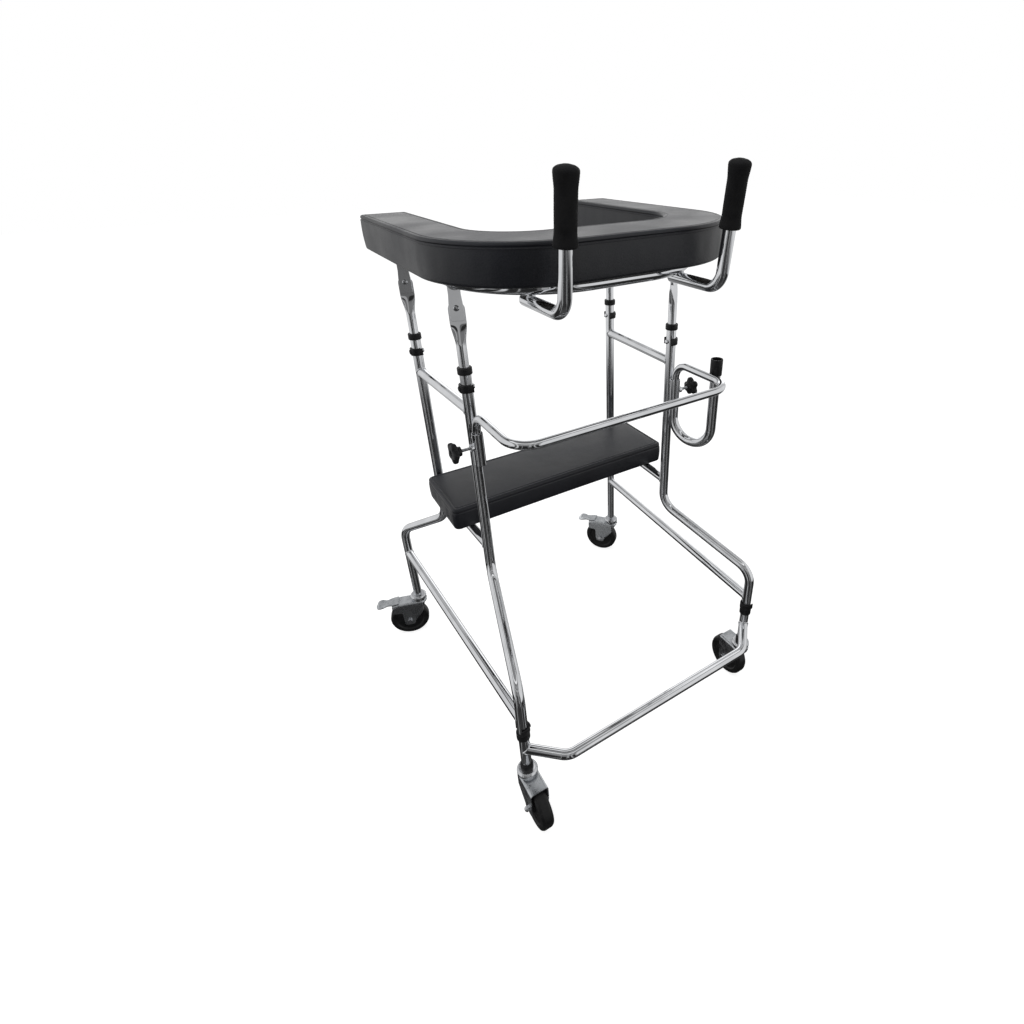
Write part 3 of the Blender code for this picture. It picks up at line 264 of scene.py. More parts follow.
def pipe(path: Array) -> Surface:
    """Frame tube along a path, open at both ends.

    A circle is carried along the path at the outer radius, turned over a small round rim, and
    carried back inside at the radius less the wall.
    """
    tangent, normal, across = trihedrals(path, SKEW)
    rim = TUBE_WALL * RIM_SHARE
    count = len(path)
    body = path.copy()
    body[0] += tangent[0] * rim
    body[-1] -= tangent[-1] * rim
    there = np.arange(count)
    station = np.concatenate([there, [count - 1] * 2, there[::-1], [0, 0]])
    centres = np.concatenate([body, path[-1:], path[-1:], body[::-1], path[:1], path[:1]])
    inner = TUBE_R - TUBE_WALL
    lips = [TUBE_R - rim, inner + rim]
    radii = np.concatenate([[TUBE_R] * count, lips, [inner] * count, lips[::-1]])
    ring = circle(ROUND)[None] * radii[:, None, None]
    return ringed(swept(centres, normal[station], across[station], ring), closed=True)


def bead(loop: Array, radius: float, hint: Sequence, ripple: float = 0.12) -> Surface:
    """Weld bead or piping: a circle carried round a closed loop.

    The radius swells and falls as a sine of the distance along the loop, two radii to a swell.
    """
    _, normal, across = trihedrals(loop, hint, closed=True)
    length = np.linalg.norm(np.roll(loop, -1, 0) - loop, axis=1)
    along = np.cumsum(length) - length
    swells = max(round(length.sum() / (2 * radius)), 1)
    size = radius * (1 + ripple * np.sin(2 * np.pi * swells * along / length.sum()))
    ring = circle(BEAD_ROUND)[None] * size[:, None, None]
    return ringed(swept(loop, normal, across, ring), closed=True)


def lathed(profile: Sequence, sides: int = ROUND, closed: bool = False) -> Surface:
    """Turned piece about Z: each (radius, height) point of the profile swung round a circle."""
    points = np.asarray(profile, float)
    flat = points[:, None, :1] * circle(sides)[None]
    tall = np.broadcast_to(points[:, None, 1:], (len(points), sides, 1))
    return ringed(np.concatenate([flat, tall], -1), closed)


def bushed(corners: Sequence, radius: Array | float, steps: int = 3, sides: int = ROUND) -> Surface:
    """Turned ring about Z, whose section has rounded corners."""
    return lathed(rounded_loop(corners, radius, steps), sides, closed=True)


def hexed(profile: Array, share: Array) -> Surface:
    """Turned piece whose circle is pressed to a hexagon where the share is 1.

    At an angle from the nearest flat's middle, a hexagon's edge lies at the flat's distance over
    the cosine of that angle.
    """
    angle = 2 * np.pi * np.arange(ROUND) / ROUND
    flat = math.cos(math.pi / 6) / np.cos(np.mod(angle, np.pi / 3) - np.pi / 6)
    size = profile[:, :1] * (1 + share[:, None] * (flat[None] - 1))
    tall = np.broadcast_to(profile[:, 1:], size.shape)
    return ringed(np.stack([size * np.cos(angle), size * np.sin(angle), tall], -1))


def extruded(outline: Array, half: float, edge: float = 0.0005) -> Surface:
    """Plate: an (x, y) outline raised by half its depth both ways, its edges eased.

    The first and last rings are drawn towards the outline's middle by the edge's width.
    """
    away = unit(outline - outline.mean(0))
    rings = []
    for inset, height in ((edge, -half), (0.0, edge - half), (0.0, half - edge), (edge, half)):
        flat = outline - away * inset
        rings.append(np.column_stack([flat, np.full(len(flat), height)]))
    return ringed(np.stack(rings))


# Finishes

WHITE = (1, 1, 1, 1)
MIDDLE = (0.35, 0.65)
WIDE = (0.3, 0.7)
Colour = tuple[float, float, float]


class Slot(Enum):
    """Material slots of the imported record."""

    CHROME = "chrome"
    STEEL = "bright_steel"
    ZINC = "zinc_plate"
    PLASTIC = "black_plastic"
    RUBBER = "black_rubber"
    VINYL = "black_vinyl"
    FOAM = "black_foam"
    PLYWOOD = "plywood"


class Nodes:
    """Short ways to fill a node tree."""

    def __init__(self, tree: bpy.types.NodeTree) -> None:
        """Take the tree to fill."""
        self.tree = tree

    def feed(self, target: Socket, value: object) -> None:
        """Link a socket to the target, or set a plain value on it."""
        if isinstance(value, Socket):
            self.tree.links.new(value, target)
        else:
            target.default_value = value

    def add(self, kind: str, *values: object, **named: object) -> bpy.types.Node:
        """Add a node and feed its inputs, in their order or by their names."""
        made = self.tree.nodes.new(f"ShaderNode{kind}")
        for target, value in zip(made.inputs, values):
            self.feed(target, value)
        for name, value in named.items():
            self.feed(made.inputs[name.replace("_", " ")], value)
        return made

    def math(self, kind: str, first: object, second: object = 0.0) -> Socket:
        """Arithmetic of two values."""
        made = self.add("Math", first, second)
        made.operation = kind
        return made.outputs[0]

    def mapped(self, source: object, span: Sequence, ends: Sequence, kind: str) -> Socket:
        """The source's span laid out between two ends, LINEAR or SMOOTHSTEP."""
        low, high = span
        start, end = ends
        made = self.add("MapRange", Value=source, From_Min=low, From_Max=high)
        self.feed(made.inputs["To Min"], start)
        self.feed(made.inputs["To Max"], end)
        made.interpolation_type = kind
        return made.outputs[0]

    def folded(self, kind: str, values: Sequence) -> Socket:
        """Several values joined in turn by one kind of arithmetic."""
        return reduce(lambda first, second: self.math(kind, first, second), values)

    def dot(self, direction: Socket, vector: Sequence) -> Socket:
        """How far a direction points along a vector."""
        made = self.add("VectorMath", direction, vector)
        made.operation = "DOT_PRODUCT"
        return made.outputs["Value"]

    def mixed(self, share: object, first: object, second: object) -> Socket:
        """The first value where the share is 0, and the second where it is 1."""
        made = self.add("Mix", share)
        made.data_type = "FLOAT"
        self.feed(made.inputs[2], first)
        self.feed(made.inputs[3], second)
        return made.outputs[0]


@dataclass(frozen=True)
class Pattern:
    """Soft noise of so many features to the metre, or rounded cells where a softness is given."""

    scale: float
    detail: float = 3
    stretch: tuple[float, float, float] | None = None
    softness: float | None = None


@dataclass(frozen=True)
class Relief:
    """A pattern raised by a depth in metres."""

    pattern: Pattern
    depth: float
    strength: float


class Bench(Nodes):
    """One material's nodes: its Principled shader and what feeds it."""

    def __init__(self, name: str) -> None:
        """Start a material with a shader and the piece's own coordinates."""
        self.material = bpy.data.materials.new(name)
        self.material.use_nodes = True
        super().__init__(self.material.node_tree)
        self.place = self.add("TexCoord").outputs["Object"]

    def laid(self, pattern: Pattern) -> Socket:
        """The pattern over the piece's own coordinates, stretched along each axis if need be."""
        place = self.place
        if pattern.stretch:
            place = self.add("Mapping", Vector=place, Scale=pattern.stretch).outputs[0]
        if pattern.softness is None:
            noise = self.add("TexNoise", Vector=place, Scale=pattern.scale, Detail=pattern.detail)
            return noise.outputs[0]
        cells = self.add("TexVoronoi", Vector=place, Scale=pattern.scale)
        cells.feature = "SMOOTH_F1"
        cells.inputs["Smoothness"].default_value = pattern.softness
        return cells.outputs["Distance"]

    def toned(self, source: object, dark: Colour, light: Colour, span: Sequence) -> object:
        """Colour between dark and light, chosen by the source."""
        made = self.add("ValToRGB", source)
        ends = made.color_ramp.elements
        ends[0].position, ends[1].position = span
        ends[0].color, ends[1].color = (*dark, 1), (*light, 1)
        return made.outputs[0]

    def skin(self, reliefs: Sequence[Relief]) -> Socket:
        """Bumps of the reliefs, each laid over the one before it."""
        over = {}
        for relief in reliefs:
            height = self.laid(relief.pattern)
            bump = self.add("Bump", Height=height, Distance=relief.depth, **over)
            bump.inputs["Strength"].default_value = relief.strength
            over = {"Normal": bump.outputs[0]}
        return over["Normal"]


@dataclass(frozen=True)
class Finish:
    """A finish: a drifting pattern sets its tone and gloss, and reliefs make its skin."""

    kind: str
    slot: Slot
    dark: Colour
    light: Colour
    drift: Pattern
    roughness: tuple[float, float] | float
    reliefs: tuple[Relief, ...]
    metallic: float = 0.0
    specular: float = 0.5
    span: tuple[float, float] = MIDDLE

    def material(self) -> bpy.types.Material:
        """The finish's material, made once."""
        name = f"{self.kind}_{self.slot.value}"
        return bpy.data.materials.get(name) or self.made(Bench(name))

    def made(self, bench: Bench) -> bpy.types.Material:
        """Make the material on a bench."""
        drift = bench.laid(self.drift)
        gloss = self.roughness
        if isinstance(gloss, tuple):
            gloss = bench.mapped(drift, MIDDLE, gloss, "LINEAR")
        inputs = {
            "Base Color": bench.toned(drift, self.dark, self.light, self.span),
            "Metallic": self.metallic,
            "Roughness": gloss,
            "Specular IOR Level": self.specular,
            "Normal": bench.skin(self.reliefs),
        }
        shader = bench.tree.nodes["Principled BSDF"]
        for name, value in inputs.items():
            bench.feed(shader.inputs[name], value)
        return bench.material


def plated(
    kind: str, slot: Slot, dark: Colour, light: Colour, roughness: tuple[float, float], grain: float
) -> Finish:
    """Satin plate: coarse mottle under fine tumbling marks, both sized by the grain."""
    marks = Relief(Pattern(grain * 4, 4), 0.0002, 0.25)
    mottle = Pattern(grain * 0.3, 6)
    return Finish(kind, slot, dark, light, mottle, roughness, (marks,), metallic=1.0, span=WIDE)


# Polished tube with faint haze and the ripple of drawing
CHROME = Finish(
    "chrome", Slot.CHROME, (0.74, 0.75, 0.77), (0.84, 0.85, 0.87), Pattern(24, 5), (0.035, 0.08),
    (Relief(Pattern(60, 2, (1, 1, 0.12)), 0.0004, 0.05),), metallic=1.0,
)
# Fasteners, pressings, and turned parts of the same plate
STEEL = plated("satinmetal", Slot.STEEL, (0.52, 0.53, 0.55), (0.74, 0.75, 0.77), (0.12, 0.22), 300)
ZINC = plated("satinmetal", Slot.ZINC, (0.44, 0.46, 0.48), (0.66, 0.68, 0.70), (0.22, 0.34), 220)
RACE = plated("turnedmetal", Slot.ZINC, (0.56, 0.57, 0.59), (0.74, 0.75, 0.77), (0.10, 0.18), 200)
# Plastic with a fine spark-eroded texture
PLASTIC = Finish(
    "moulded", Slot.PLASTIC, (0.005, 0.005, 0.0055), (0.010, 0.010, 0.011), Pattern(45, 4),
    (0.34, 0.52), (Relief(Pattern(1800, 2), 0.0002, 0.3),), specular=0.30,
)
# Dull rubber with a dusty bloom and a close grain
RUBBER = Finish(
    "rubber", Slot.RUBBER, (0.004, 0.004, 0.0045), (0.009, 0.009, 0.0095), Pattern(70, 5),
    (0.34, 0.54), (Relief(Pattern(1300, 3), 0.0002, 0.35),), specular=0.34,
)
# Pebbles a millimetre or so across, over slow waves of the stretched cover
VINYL = Finish(
    "grainedvinyl", Slot.VINYL, (0.0045, 0.005, 0.0075), (0.008, 0.009, 0.013), Pattern(9, 5),
    (0.34, 0.44),
    (Relief(Pattern(16, 3), 0.004, 0.25), Relief(Pattern(800, softness=0.35), 0.0006, 0.35)),
)
# Closed-cell foam with small pores
FOAM = Finish(
    "gripfoam", Slot.FOAM, (0.004, 0.004, 0.0045), (0.009, 0.009, 0.0095), Pattern(50, 4),
    (0.62, 0.85), (Relief(Pattern(900, softness=0.2), 0.0005, 0.5),), specular=0.18,
)
# Very dark brown plywood: long grain along X, with plies stacked in Z
GRAIN = Pattern(14, 8, (1.2, 14, 60))
PLYWOOD = Finish(
    "plywood", Slot.PLYWOOD, (0.028, 0.024, 0.021), (0.060, 0.052, 0.046), GRAIN, 0.68,
    (Relief(GRAIN, 0.0004, 0.4),), span=WIDE,
)


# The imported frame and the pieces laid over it


@dataclass(frozen=True)
class Leg:
    """One leg: its name, the side that it stands on, and its post's and its foot's axis."""

    end: str
    side: int
    post: tuple[float, float]
    foot: tuple[float, float]
    end_z: float
    heading: float

    @property
    def name(self) -> str:
        """Name such as front_left."""
        return f"{self.end}_{self.hand}"

    @property
    def hand(self) -> str:
        """Name of the leg's side."""
        return "left" if self.side < 0 else "right"

    @property
    def braked(self) -> bool:
        """Whether its caster has a brake pedal, as the rear ones do."""
        return self.end == "rear"

    @property
    def flat_turn(self) -> float:
        """Angle by which the bolted flat and its tab are turned outward from facing forward."""
        return self.side * FLAT_TURN

    @property
    def outward(self) -> Array:
        """Direction away from the walker's middle line."""
        return np.array([float(self.side), 0.0, 0.0])

    def at_post(self, z: float) -> Array:
        """Point of the post's axis at a height."""
        return np.array([*self.post, z])

    def at_foot(self, z: float) -> Array:
        """Point of the foot's axis at a height."""
        return np.array([*self.foot, z])


LEGS = (
    Leg("front", -1, (-0.225, -0.122), (-0.288, -0.363), 0.217, math.radians(-90)),
    Leg("front", 1, (0.225, -0.122), (0.288, -0.363), 0.217, math.radians(90)),
    Leg("rear", -1, (-0.235, 0.122), (-0.314, 0.238), 0.1233, math.radians(162)),
    Leg("rear", 1, (0.235, 0.122), (0.314, 0.238), 0.1233, math.radians(128)),
)


def linked(name: str, surface: Surface) -> bpy.types.Object:
    """Put an object that holds a surface's faces into the scene."""
    mesh = bpy.data.meshes.new(name)
    faces = surface.quads.tolist() + [list(cap) for cap in surface.caps]
    mesh.from_pydata(surface.points.tolist(), [], faces)
    piece = bpy.data.objects.new(name, mesh)
    bpy.context.scene.collection.objects.link(piece)
    return piece


class PackedFrame:
    """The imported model: where it stands, and which body carries each node."""

    def __init__(self, pad_rear_y: float = 0.212, pad_bottom_z: float = 1.006) -> None:
        """Load the frame and find the walker's middle from the armrest pad's box."""
        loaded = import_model()
        self.nodes = loaded["nodes"]
        groups = loaded["record"]["behaviour"]["bodies"]
        self.body_of = {node: body for body, nodes in groups.items() for node in nodes}
        low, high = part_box("armrest_pad")
        self.origin = np.array([(low.x + high.x) / 2, high.y - pad_rear_y, low.z - pad_bottom_z])

    def lay(
        self,
        name: str,
        surface: Surface,
        finish: Finish,
        node: str,
        stands: bool = True,
        sharp: float = SHARP,
    ) -> bpy.types.Object:
        """Turn a surface into a finished piece that rides with a CAD node.

        Args:
            name: the piece's name.
            surface: its points about the walker's middle line.
            finish: what it is dressed in.
            node: the CAD node whose body carries it.
            stands: whether it stands for that node, which is then hidden.
            sharp: angle in degrees from which an edge is drawn sharp.

        Returns:
            The new object.
        """
        piece = linked(name, surface.moved(self.origin))
        mesh = piece.data
        form = bmesh.new()
        form.from_mesh(mesh)
        bmesh.ops.remove_doubles(form, verts=form.verts, dist=MERGE)
        bmesh.ops.recalc_face_normals(form, faces=form.faces)
        form.to_mesh(mesh)
        form.free()
        mesh.shade_smooth()
        mesh.set_sharp_from_angle(angle=math.radians(sharp))
        mesh.materials.append(finish.material())
        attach(piece, self.body_of[node])
        if stands:
            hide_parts(node)
        LOG.info("%s: %d points, %s", name, len(mesh.vertices), finish.slot.value)
        return piece

    def dress(self, node: str, finish: Finish) -> None:
        """Give a CAD node that stays in sight its material."""
        self.nodes[node].data.materials.clear()
        self.nodes[node].data.materials.append(finish.material())
        LOG.info("%s: kept, %s", node, finish.slot.value)


def drilled(piece: bpy.types.Object, cutters: Sequence[Surface], shift: Array) -> None:
    """Bore a finished piece with closed surfaces and keep the bored mesh."""
    cutter = linked("cutter", joined(cutters).moved(shift))
    boolean = piece.modifiers.new("bore", "BOOLEAN")
    boolean.operation = "DIFFERENCE"
    boolean.solver = "EXACT"
    boolean.object = cutter
    graph = bpy.context.evaluated_depsgraph_get()
    bored = bpy.data.meshes.new_from_object(piece.evaluated_get(graph))
    piece.modifiers.clear()
    piece.data = bored
    bpy.data.objects.remove(cutter)
    bored.set_sharp_from_angle(angle=math.radians(SHARP))


# Side frames


@dataclass
class SideFrames:
    """Four bent legs and the six bars between them, with the weld beads that join them."""

    frame: PackedFrame
    knee_z: float = 0.413
    ankle_z: float = 0.335
    bend_r: float = 0.045
    upper_z: float = 0.774
    seat_z: float = 0.479
    rail_z: float = 0.262
    ferrule_r: float = 0.0045
    ferrule_length: float = 0.003
    bead_r: float = 0.0016

    def leg_tube(self, leg: Leg) -> Surface:
        """Tube down the post, out over knee and ankle, and down the foot, with its ferrule."""
        corners = [leg.at_post(POST_TOP_Z), leg.at_post(self.knee_z)]
        corners += [leg.at_foot(self.ankle_z), leg.at_foot(leg.end_z)]
        r, reach = self.ferrule_r, TUBE_R + self.ferrule_length
        nose = [(r, TUBE_R - TUBE_WALL), (r, reach)]
        nose += [(r * 0.5, reach + 0.0006), (0.0004, reach + 0.0007)]
        ferrule = lathed(rounded_path(nose, 0.0008, 4), 24)
        tube = pipe(rounded_path(corners, self.bend_r))
        return joined([tube, ferrule.aimed(-leg.outward, leg.at_post(CLIP_Z))])

    def coped(self, start: Array, end: Array) -> tuple[Surface, list[Surface]]:
        """Bar between two upright tubes and the beads round its ends.

        Along the bar's own direction, its surface meets a tube at the square root of the tube
        radius squared less the sideways offset squared.

        Args:
            start: where the bar's axis meets the first tube's axis.
            end: where it meets the second tube's axis.

        Returns:
            The bar, and the two weld beads.
        """
        along = unit(end - start)
        turn = circle(ROUND)
        offset = (turn[:, :1] * unit(np.cross(along, UP)) + turn[:, 1:] * np.array(UP)) * BAR_R
        meet = np.sqrt(TUBE_R**2 - (BAR_R * turn[:, :1]) ** 2)
        inside = meet - TUBE_WALL / 2
        bar = ringed(np.stack([start + offset + along * inside, end + offset - along * inside]))
        loops = [start + offset + along * meet, end + offset - along * meet]
        return bar, [bead(loop, self.bead_r, along) for loop in loops]

    def build(self) -> None:
        """Lay the legs, the bars and the beads over the frame."""
        for leg in LEGS:
            self.frame.lay(f"{leg.name}_leg_tube", self.leg_tube(leg), CHROME, f"{leg.name}_leg")
        bars = (
            ("upper_bar", Leg.at_post, self.upper_z),
            ("seat_bar", Leg.at_post, self.seat_z),
            ("lower_rail", Leg.at_foot, self.rail_z),
        )
        beads = []
        for front, rear in (LEGS[0::2], LEGS[1::2]):
            for kind, at, z in bars:
                node = f"{kind}_{front.hand}"
                bar, ends = self.coped(at(front, z), at(rear, z))
                self.frame.lay(f"{node}_tube", bar, CHROME, node)
                beads += ends
        self.frame.lay("side_frame_welds", joined(beads), CHROME, "front_left_leg", stands=False)


# Telescoping tubes, collars and clips


@dataclass
class Telescopes:
    """Inner tubes with pressed-flat bolted tops, and the collars and clips that hold them."""

    frame: PackedFrame
    end_z: float = 0.655
    taper_z: float = 0.893
    flat_z: float = 0.930
    top_z: float = 0.966
    half_width: float = 0.0135
    bolt_z: float = 0.955
    bolt_head_r: float = 0.0050
    dish: float = 0.0014
    hole_r: float = 0.0033
    hole_pitch: float = 0.030
    hole_count: int = 6
    foot_clip_z: float = 0.2385
    foot_collar_height: float = 0.0170
    collar_r: float = 0.0128
    collar_height: float = 0.012
    collar_lip: float = 0.003
    clip_height: float = 0.014
    clip_wall: float = 0.0025
    clip_lip: float = 0.008
    clip_swell: float = 0.0009
    pin_r: float = 0.003

    def inner_tube(self, leg: Leg) -> Surface:
        """Telescoping tube, pressed flat at its top.

        Above the taper, two planes close in on the tube from before and behind and leave a
        three-cornered facet on each side. The facet is dished by one minus the square of the way
        across it. The tube widens by an eased share of the height, and at the very top its width
        follows a half circle.
        """
        rows = [[self.end_z], [self.taper_z - 0.004], np.linspace(self.taper_z, self.flat_z, 30)]
        top = self.top_z - self.half_width * (1 - np.sin(np.linspace(0, np.pi / 2, 9)))
        z = np.concatenate([*rows, top])[:, None]
        share = np.clip((z - self.taper_z) / (self.flat_z - self.taper_z), 0, 1)
        past = np.clip((z - self.top_z + self.half_width) / self.half_width, 0, 0.999)
        width = (INNER_R + (self.half_width - INNER_R) * smooth(share)) * np.sqrt(1 - past**2)
        plane = INNER_R + (FLAT_THICKNESS / 2 - INNER_R) * share
        cos, sin = circle(2 * ROUND).T[:, None]
        across = np.clip(cos**2 / np.maximum(1 - (plane / INNER_R) ** 2, 1e-6), 0, 1)
        dish = self.dish * np.sin(np.pi * share**1.6) * (1 - across)
        x = width * cos
        y = np.sign(sin) * (np.minimum(INNER_R * np.abs(sin), plane) - dish)
        grid = np.stack([x, y, np.broadcast_to(z, x.shape)], -1)
        return ringed(grid).turned(leg.flat_turn).moved(leg.at_post(0))

    def bolt(self, leg: Leg) -> Surface:
        """Low rivet head in front of the tab, and its swaged tail behind the flat."""
        r, back = self.bolt_head_r, FLAT_THICKNESS / 2
        face = back + GAP + TAB_THICKNESS
        dome = [(0.97, 0), (1, 0.0004), (0.93, 0.0011), (0.7, 0.0018)]
        dome += [(0.42, 0.0022), (0.06, 0.0024)]
        head = rounded_path([(r * share, face + rise) for share, rise in dome], 0.0003, 3)
        swage = [(0.86, 0), (0.8, 0.0012), (0.5, 0.0016), (0.08, 0.0012)]
        tail = [(r * share, -back - rise) for share, rise in swage]
        rivet = joined([lathed(head, 40), lathed(tail, 40)]).aimed((0, -1, 0))
        return rivet.turned(leg.flat_turn).moved(leg.at_post(self.bolt_z))

    def collar(self, height: float) -> Surface:
        """Stepped collar over a tube's end, its lip above the end at Z 0."""
        lip, skirt = self.collar_lip, self.collar_lip - height
        inner, bore, r = INNER_R + GAP, TUBE_R + GAP, self.collar_r
        corners = [(inner, lip), (r, lip), (r, skirt), (bore, skirt), (bore, GAP), (inner, GAP)]
        return bushed(corners, [0.0003, 0.0016, 0.0009, 0.0002, 0.0001, 0.0003], 4)

    def clip(self, point: Array, direction: float) -> Surface:
        """Spring clip round half of a tube, with a thumb button over its pin.

        A rounded oblong section is carried along a half circle with two straight lips, and its
        outer face swells by an eased share of the way from the lips to the middle.
        """
        radius = TUBE_R + GAP + self.clip_wall / 2
        angle = np.linspace(-np.pi / 2, np.pi / 2, 25)
        bend = np.stack([np.cos(angle), np.sin(angle)], -1) * radius
        path = np.vstack([[[-self.clip_lip, -radius]], bend, [[-self.clip_lip, radius]]])
        path = np.column_stack([path, np.zeros(len(path))])
        _, normal, _ = trihedrals(path, UP)
        swell = self.clip_swell * smooth(path[:, 0] / radius)
        half, wall = self.clip_height / 2, self.clip_wall / 2
        section = rounded_loop([(wall, half), (-wall, half), (-wall, -half), (wall, -half)], 0.0008)
        side = np.sign((normal * path).sum(-1))[:, None]
        depth = section[None, :, 0] + np.where(section[None, :, 0] > 0, swell[:, None], 0.0)
        grid = path[:, None] + depth[..., None] * (normal * side)[:, None]
        strap = ringed(grid + section[None, :, 1:] * np.array(UP))
        reach = radius + wall + self.clip_swell
        levels = [(0.0046, -0.001), (0.0046, 0.0008), (0.0036, 0.0014), (0.0004, 0.0015)]
        button = lathed([(r, reach + rise) for r, rise in levels], 28)
        pin = lathed([(self.pin_r, INNER_R + GAP), (self.pin_r, radius)], 20)
        turned = strap.turned(0.0 if direction > 0 else math.pi)
        return joined([turned] + [p.aimed((direction, 0, 0)) for p in (button, pin)]).moved(point)

    def build(self) -> None:
        """Lay the tubes, bolts, collars and clips over the frame."""
        lay = self.frame.lay
        bore = lathed([(self.hole_r, INNER_R * 0.3), (self.hole_r, INNER_R * 1.5)], 24)
        heights = CLIP_Z - self.hole_pitch * np.arange(self.hole_count)
        for leg in LEGS:
            name = leg.name
            node = f"{name}_inner_tube"
            piece = lay(f"{name}_telescope", self.inner_tube(leg), CHROME, node)
            holes = [bore.aimed(leg.outward, leg.at_post(z)) for z in heights]
            drilled(piece, holes, self.frame.origin)
            lay(f"{name}_bolt", self.bolt(leg), STEEL, node, stands=False)
            top = self.collar(self.collar_height).moved(leg.at_post(POST_TOP_Z))
            lay(f"{name}_post_collar", top, PLASTIC, f"{name}_collar")
            clip = self.clip(leg.at_post(CLIP_Z), leg.side)
            lay(f"{name}_post_clip", clip, PLASTIC, f"{name}_clip")
            if not leg.braked:
                lower = self.collar(self.foot_collar_height)
                lower = lower.aimed((0, 0, -1), leg.at_foot(leg.end_z))
                lay(f"{name}_leg_end_collar", lower, PLASTIC, f"{name}_foot_collar")
                clip = self.clip(leg.at_foot(self.foot_clip_z), -leg.side)
                lay(f"{name}_plug_clip", clip, PLASTIC, f"{name}_foot_clip")


# Front bow


@dataclass
class FrontBow:
    """Front tube welded between the two foot tubes, whose slimmer plugs stand up the front legs."""

    frame: PackedFrame
    z: float = 0.180
    front_y: float = -0.4215
    corner_x: float = 0.2256
    bend_r: float = 0.035
    plug_top_z: float = 0.290
    plug_end_z: float = 0.137
    sleeve_top_z: float = 0.2137
    bead_r: float = 0.0018

    def bow(self) -> Surface:
        """Bow tube with its two ends coped to the foot tubes, plus those and the weld beads.

        Each end's ring is drawn back along the bow by the square root of the foot tube's radius
        squared less the sideways offset squared, held at zero.
        """
        left, right = (leg.at_foot(self.z) for leg in LEGS[:2])
        x, y = self.corner_x, self.front_y
        path = rounded_path([left, (-x, y, self.z), (x, y, self.z), right], self.bend_r)
        tangent, normal, across = trihedrals(path, UP)
        turn = circle(ROUND) * BOW_R
        grid = swept(path, normal, across, turn)
        meet = np.sqrt(np.maximum(BOW_R**2 - turn[:, :1] ** 2, 0))
        grid[0] += tangent[0] * meet
        grid[-1] -= tangent[-1] * meet
        beads = [bead(grid[end], self.bead_r, tangent[end]) for end in (0, -1)]
        bore, low = INNER_R - TUBE_WALL, self.plug_end_z
        sleeve, top = self.sleeve_top_z, self.plug_top_z
        corners = [(bore, low), (BOW_R, low), (BOW_R, sleeve)]
        plug = bushed([*corners, (INNER_R, sleeve), (INNER_R, top), (bore, top)], 0.0003)
        return joined([ringed(grid), *[plug.moved(leg.at_foot(0)) for leg in LEGS[:2]], *beads])

    def build(self) -> None:
        """Lay the bow over the frame."""
        self.frame.lay("front_bow_tube", self.bow(), CHROME, "front_bow")


# Upholstery

# The cover's puckers: how far apart they are, how strong, and where they begin
PUCKERS = ((0.037, 1.0, 0.0), (0.023, 0.6, 1.3))
# The degrees from which an edge of a soft piece is drawn sharp
SOFT = 60


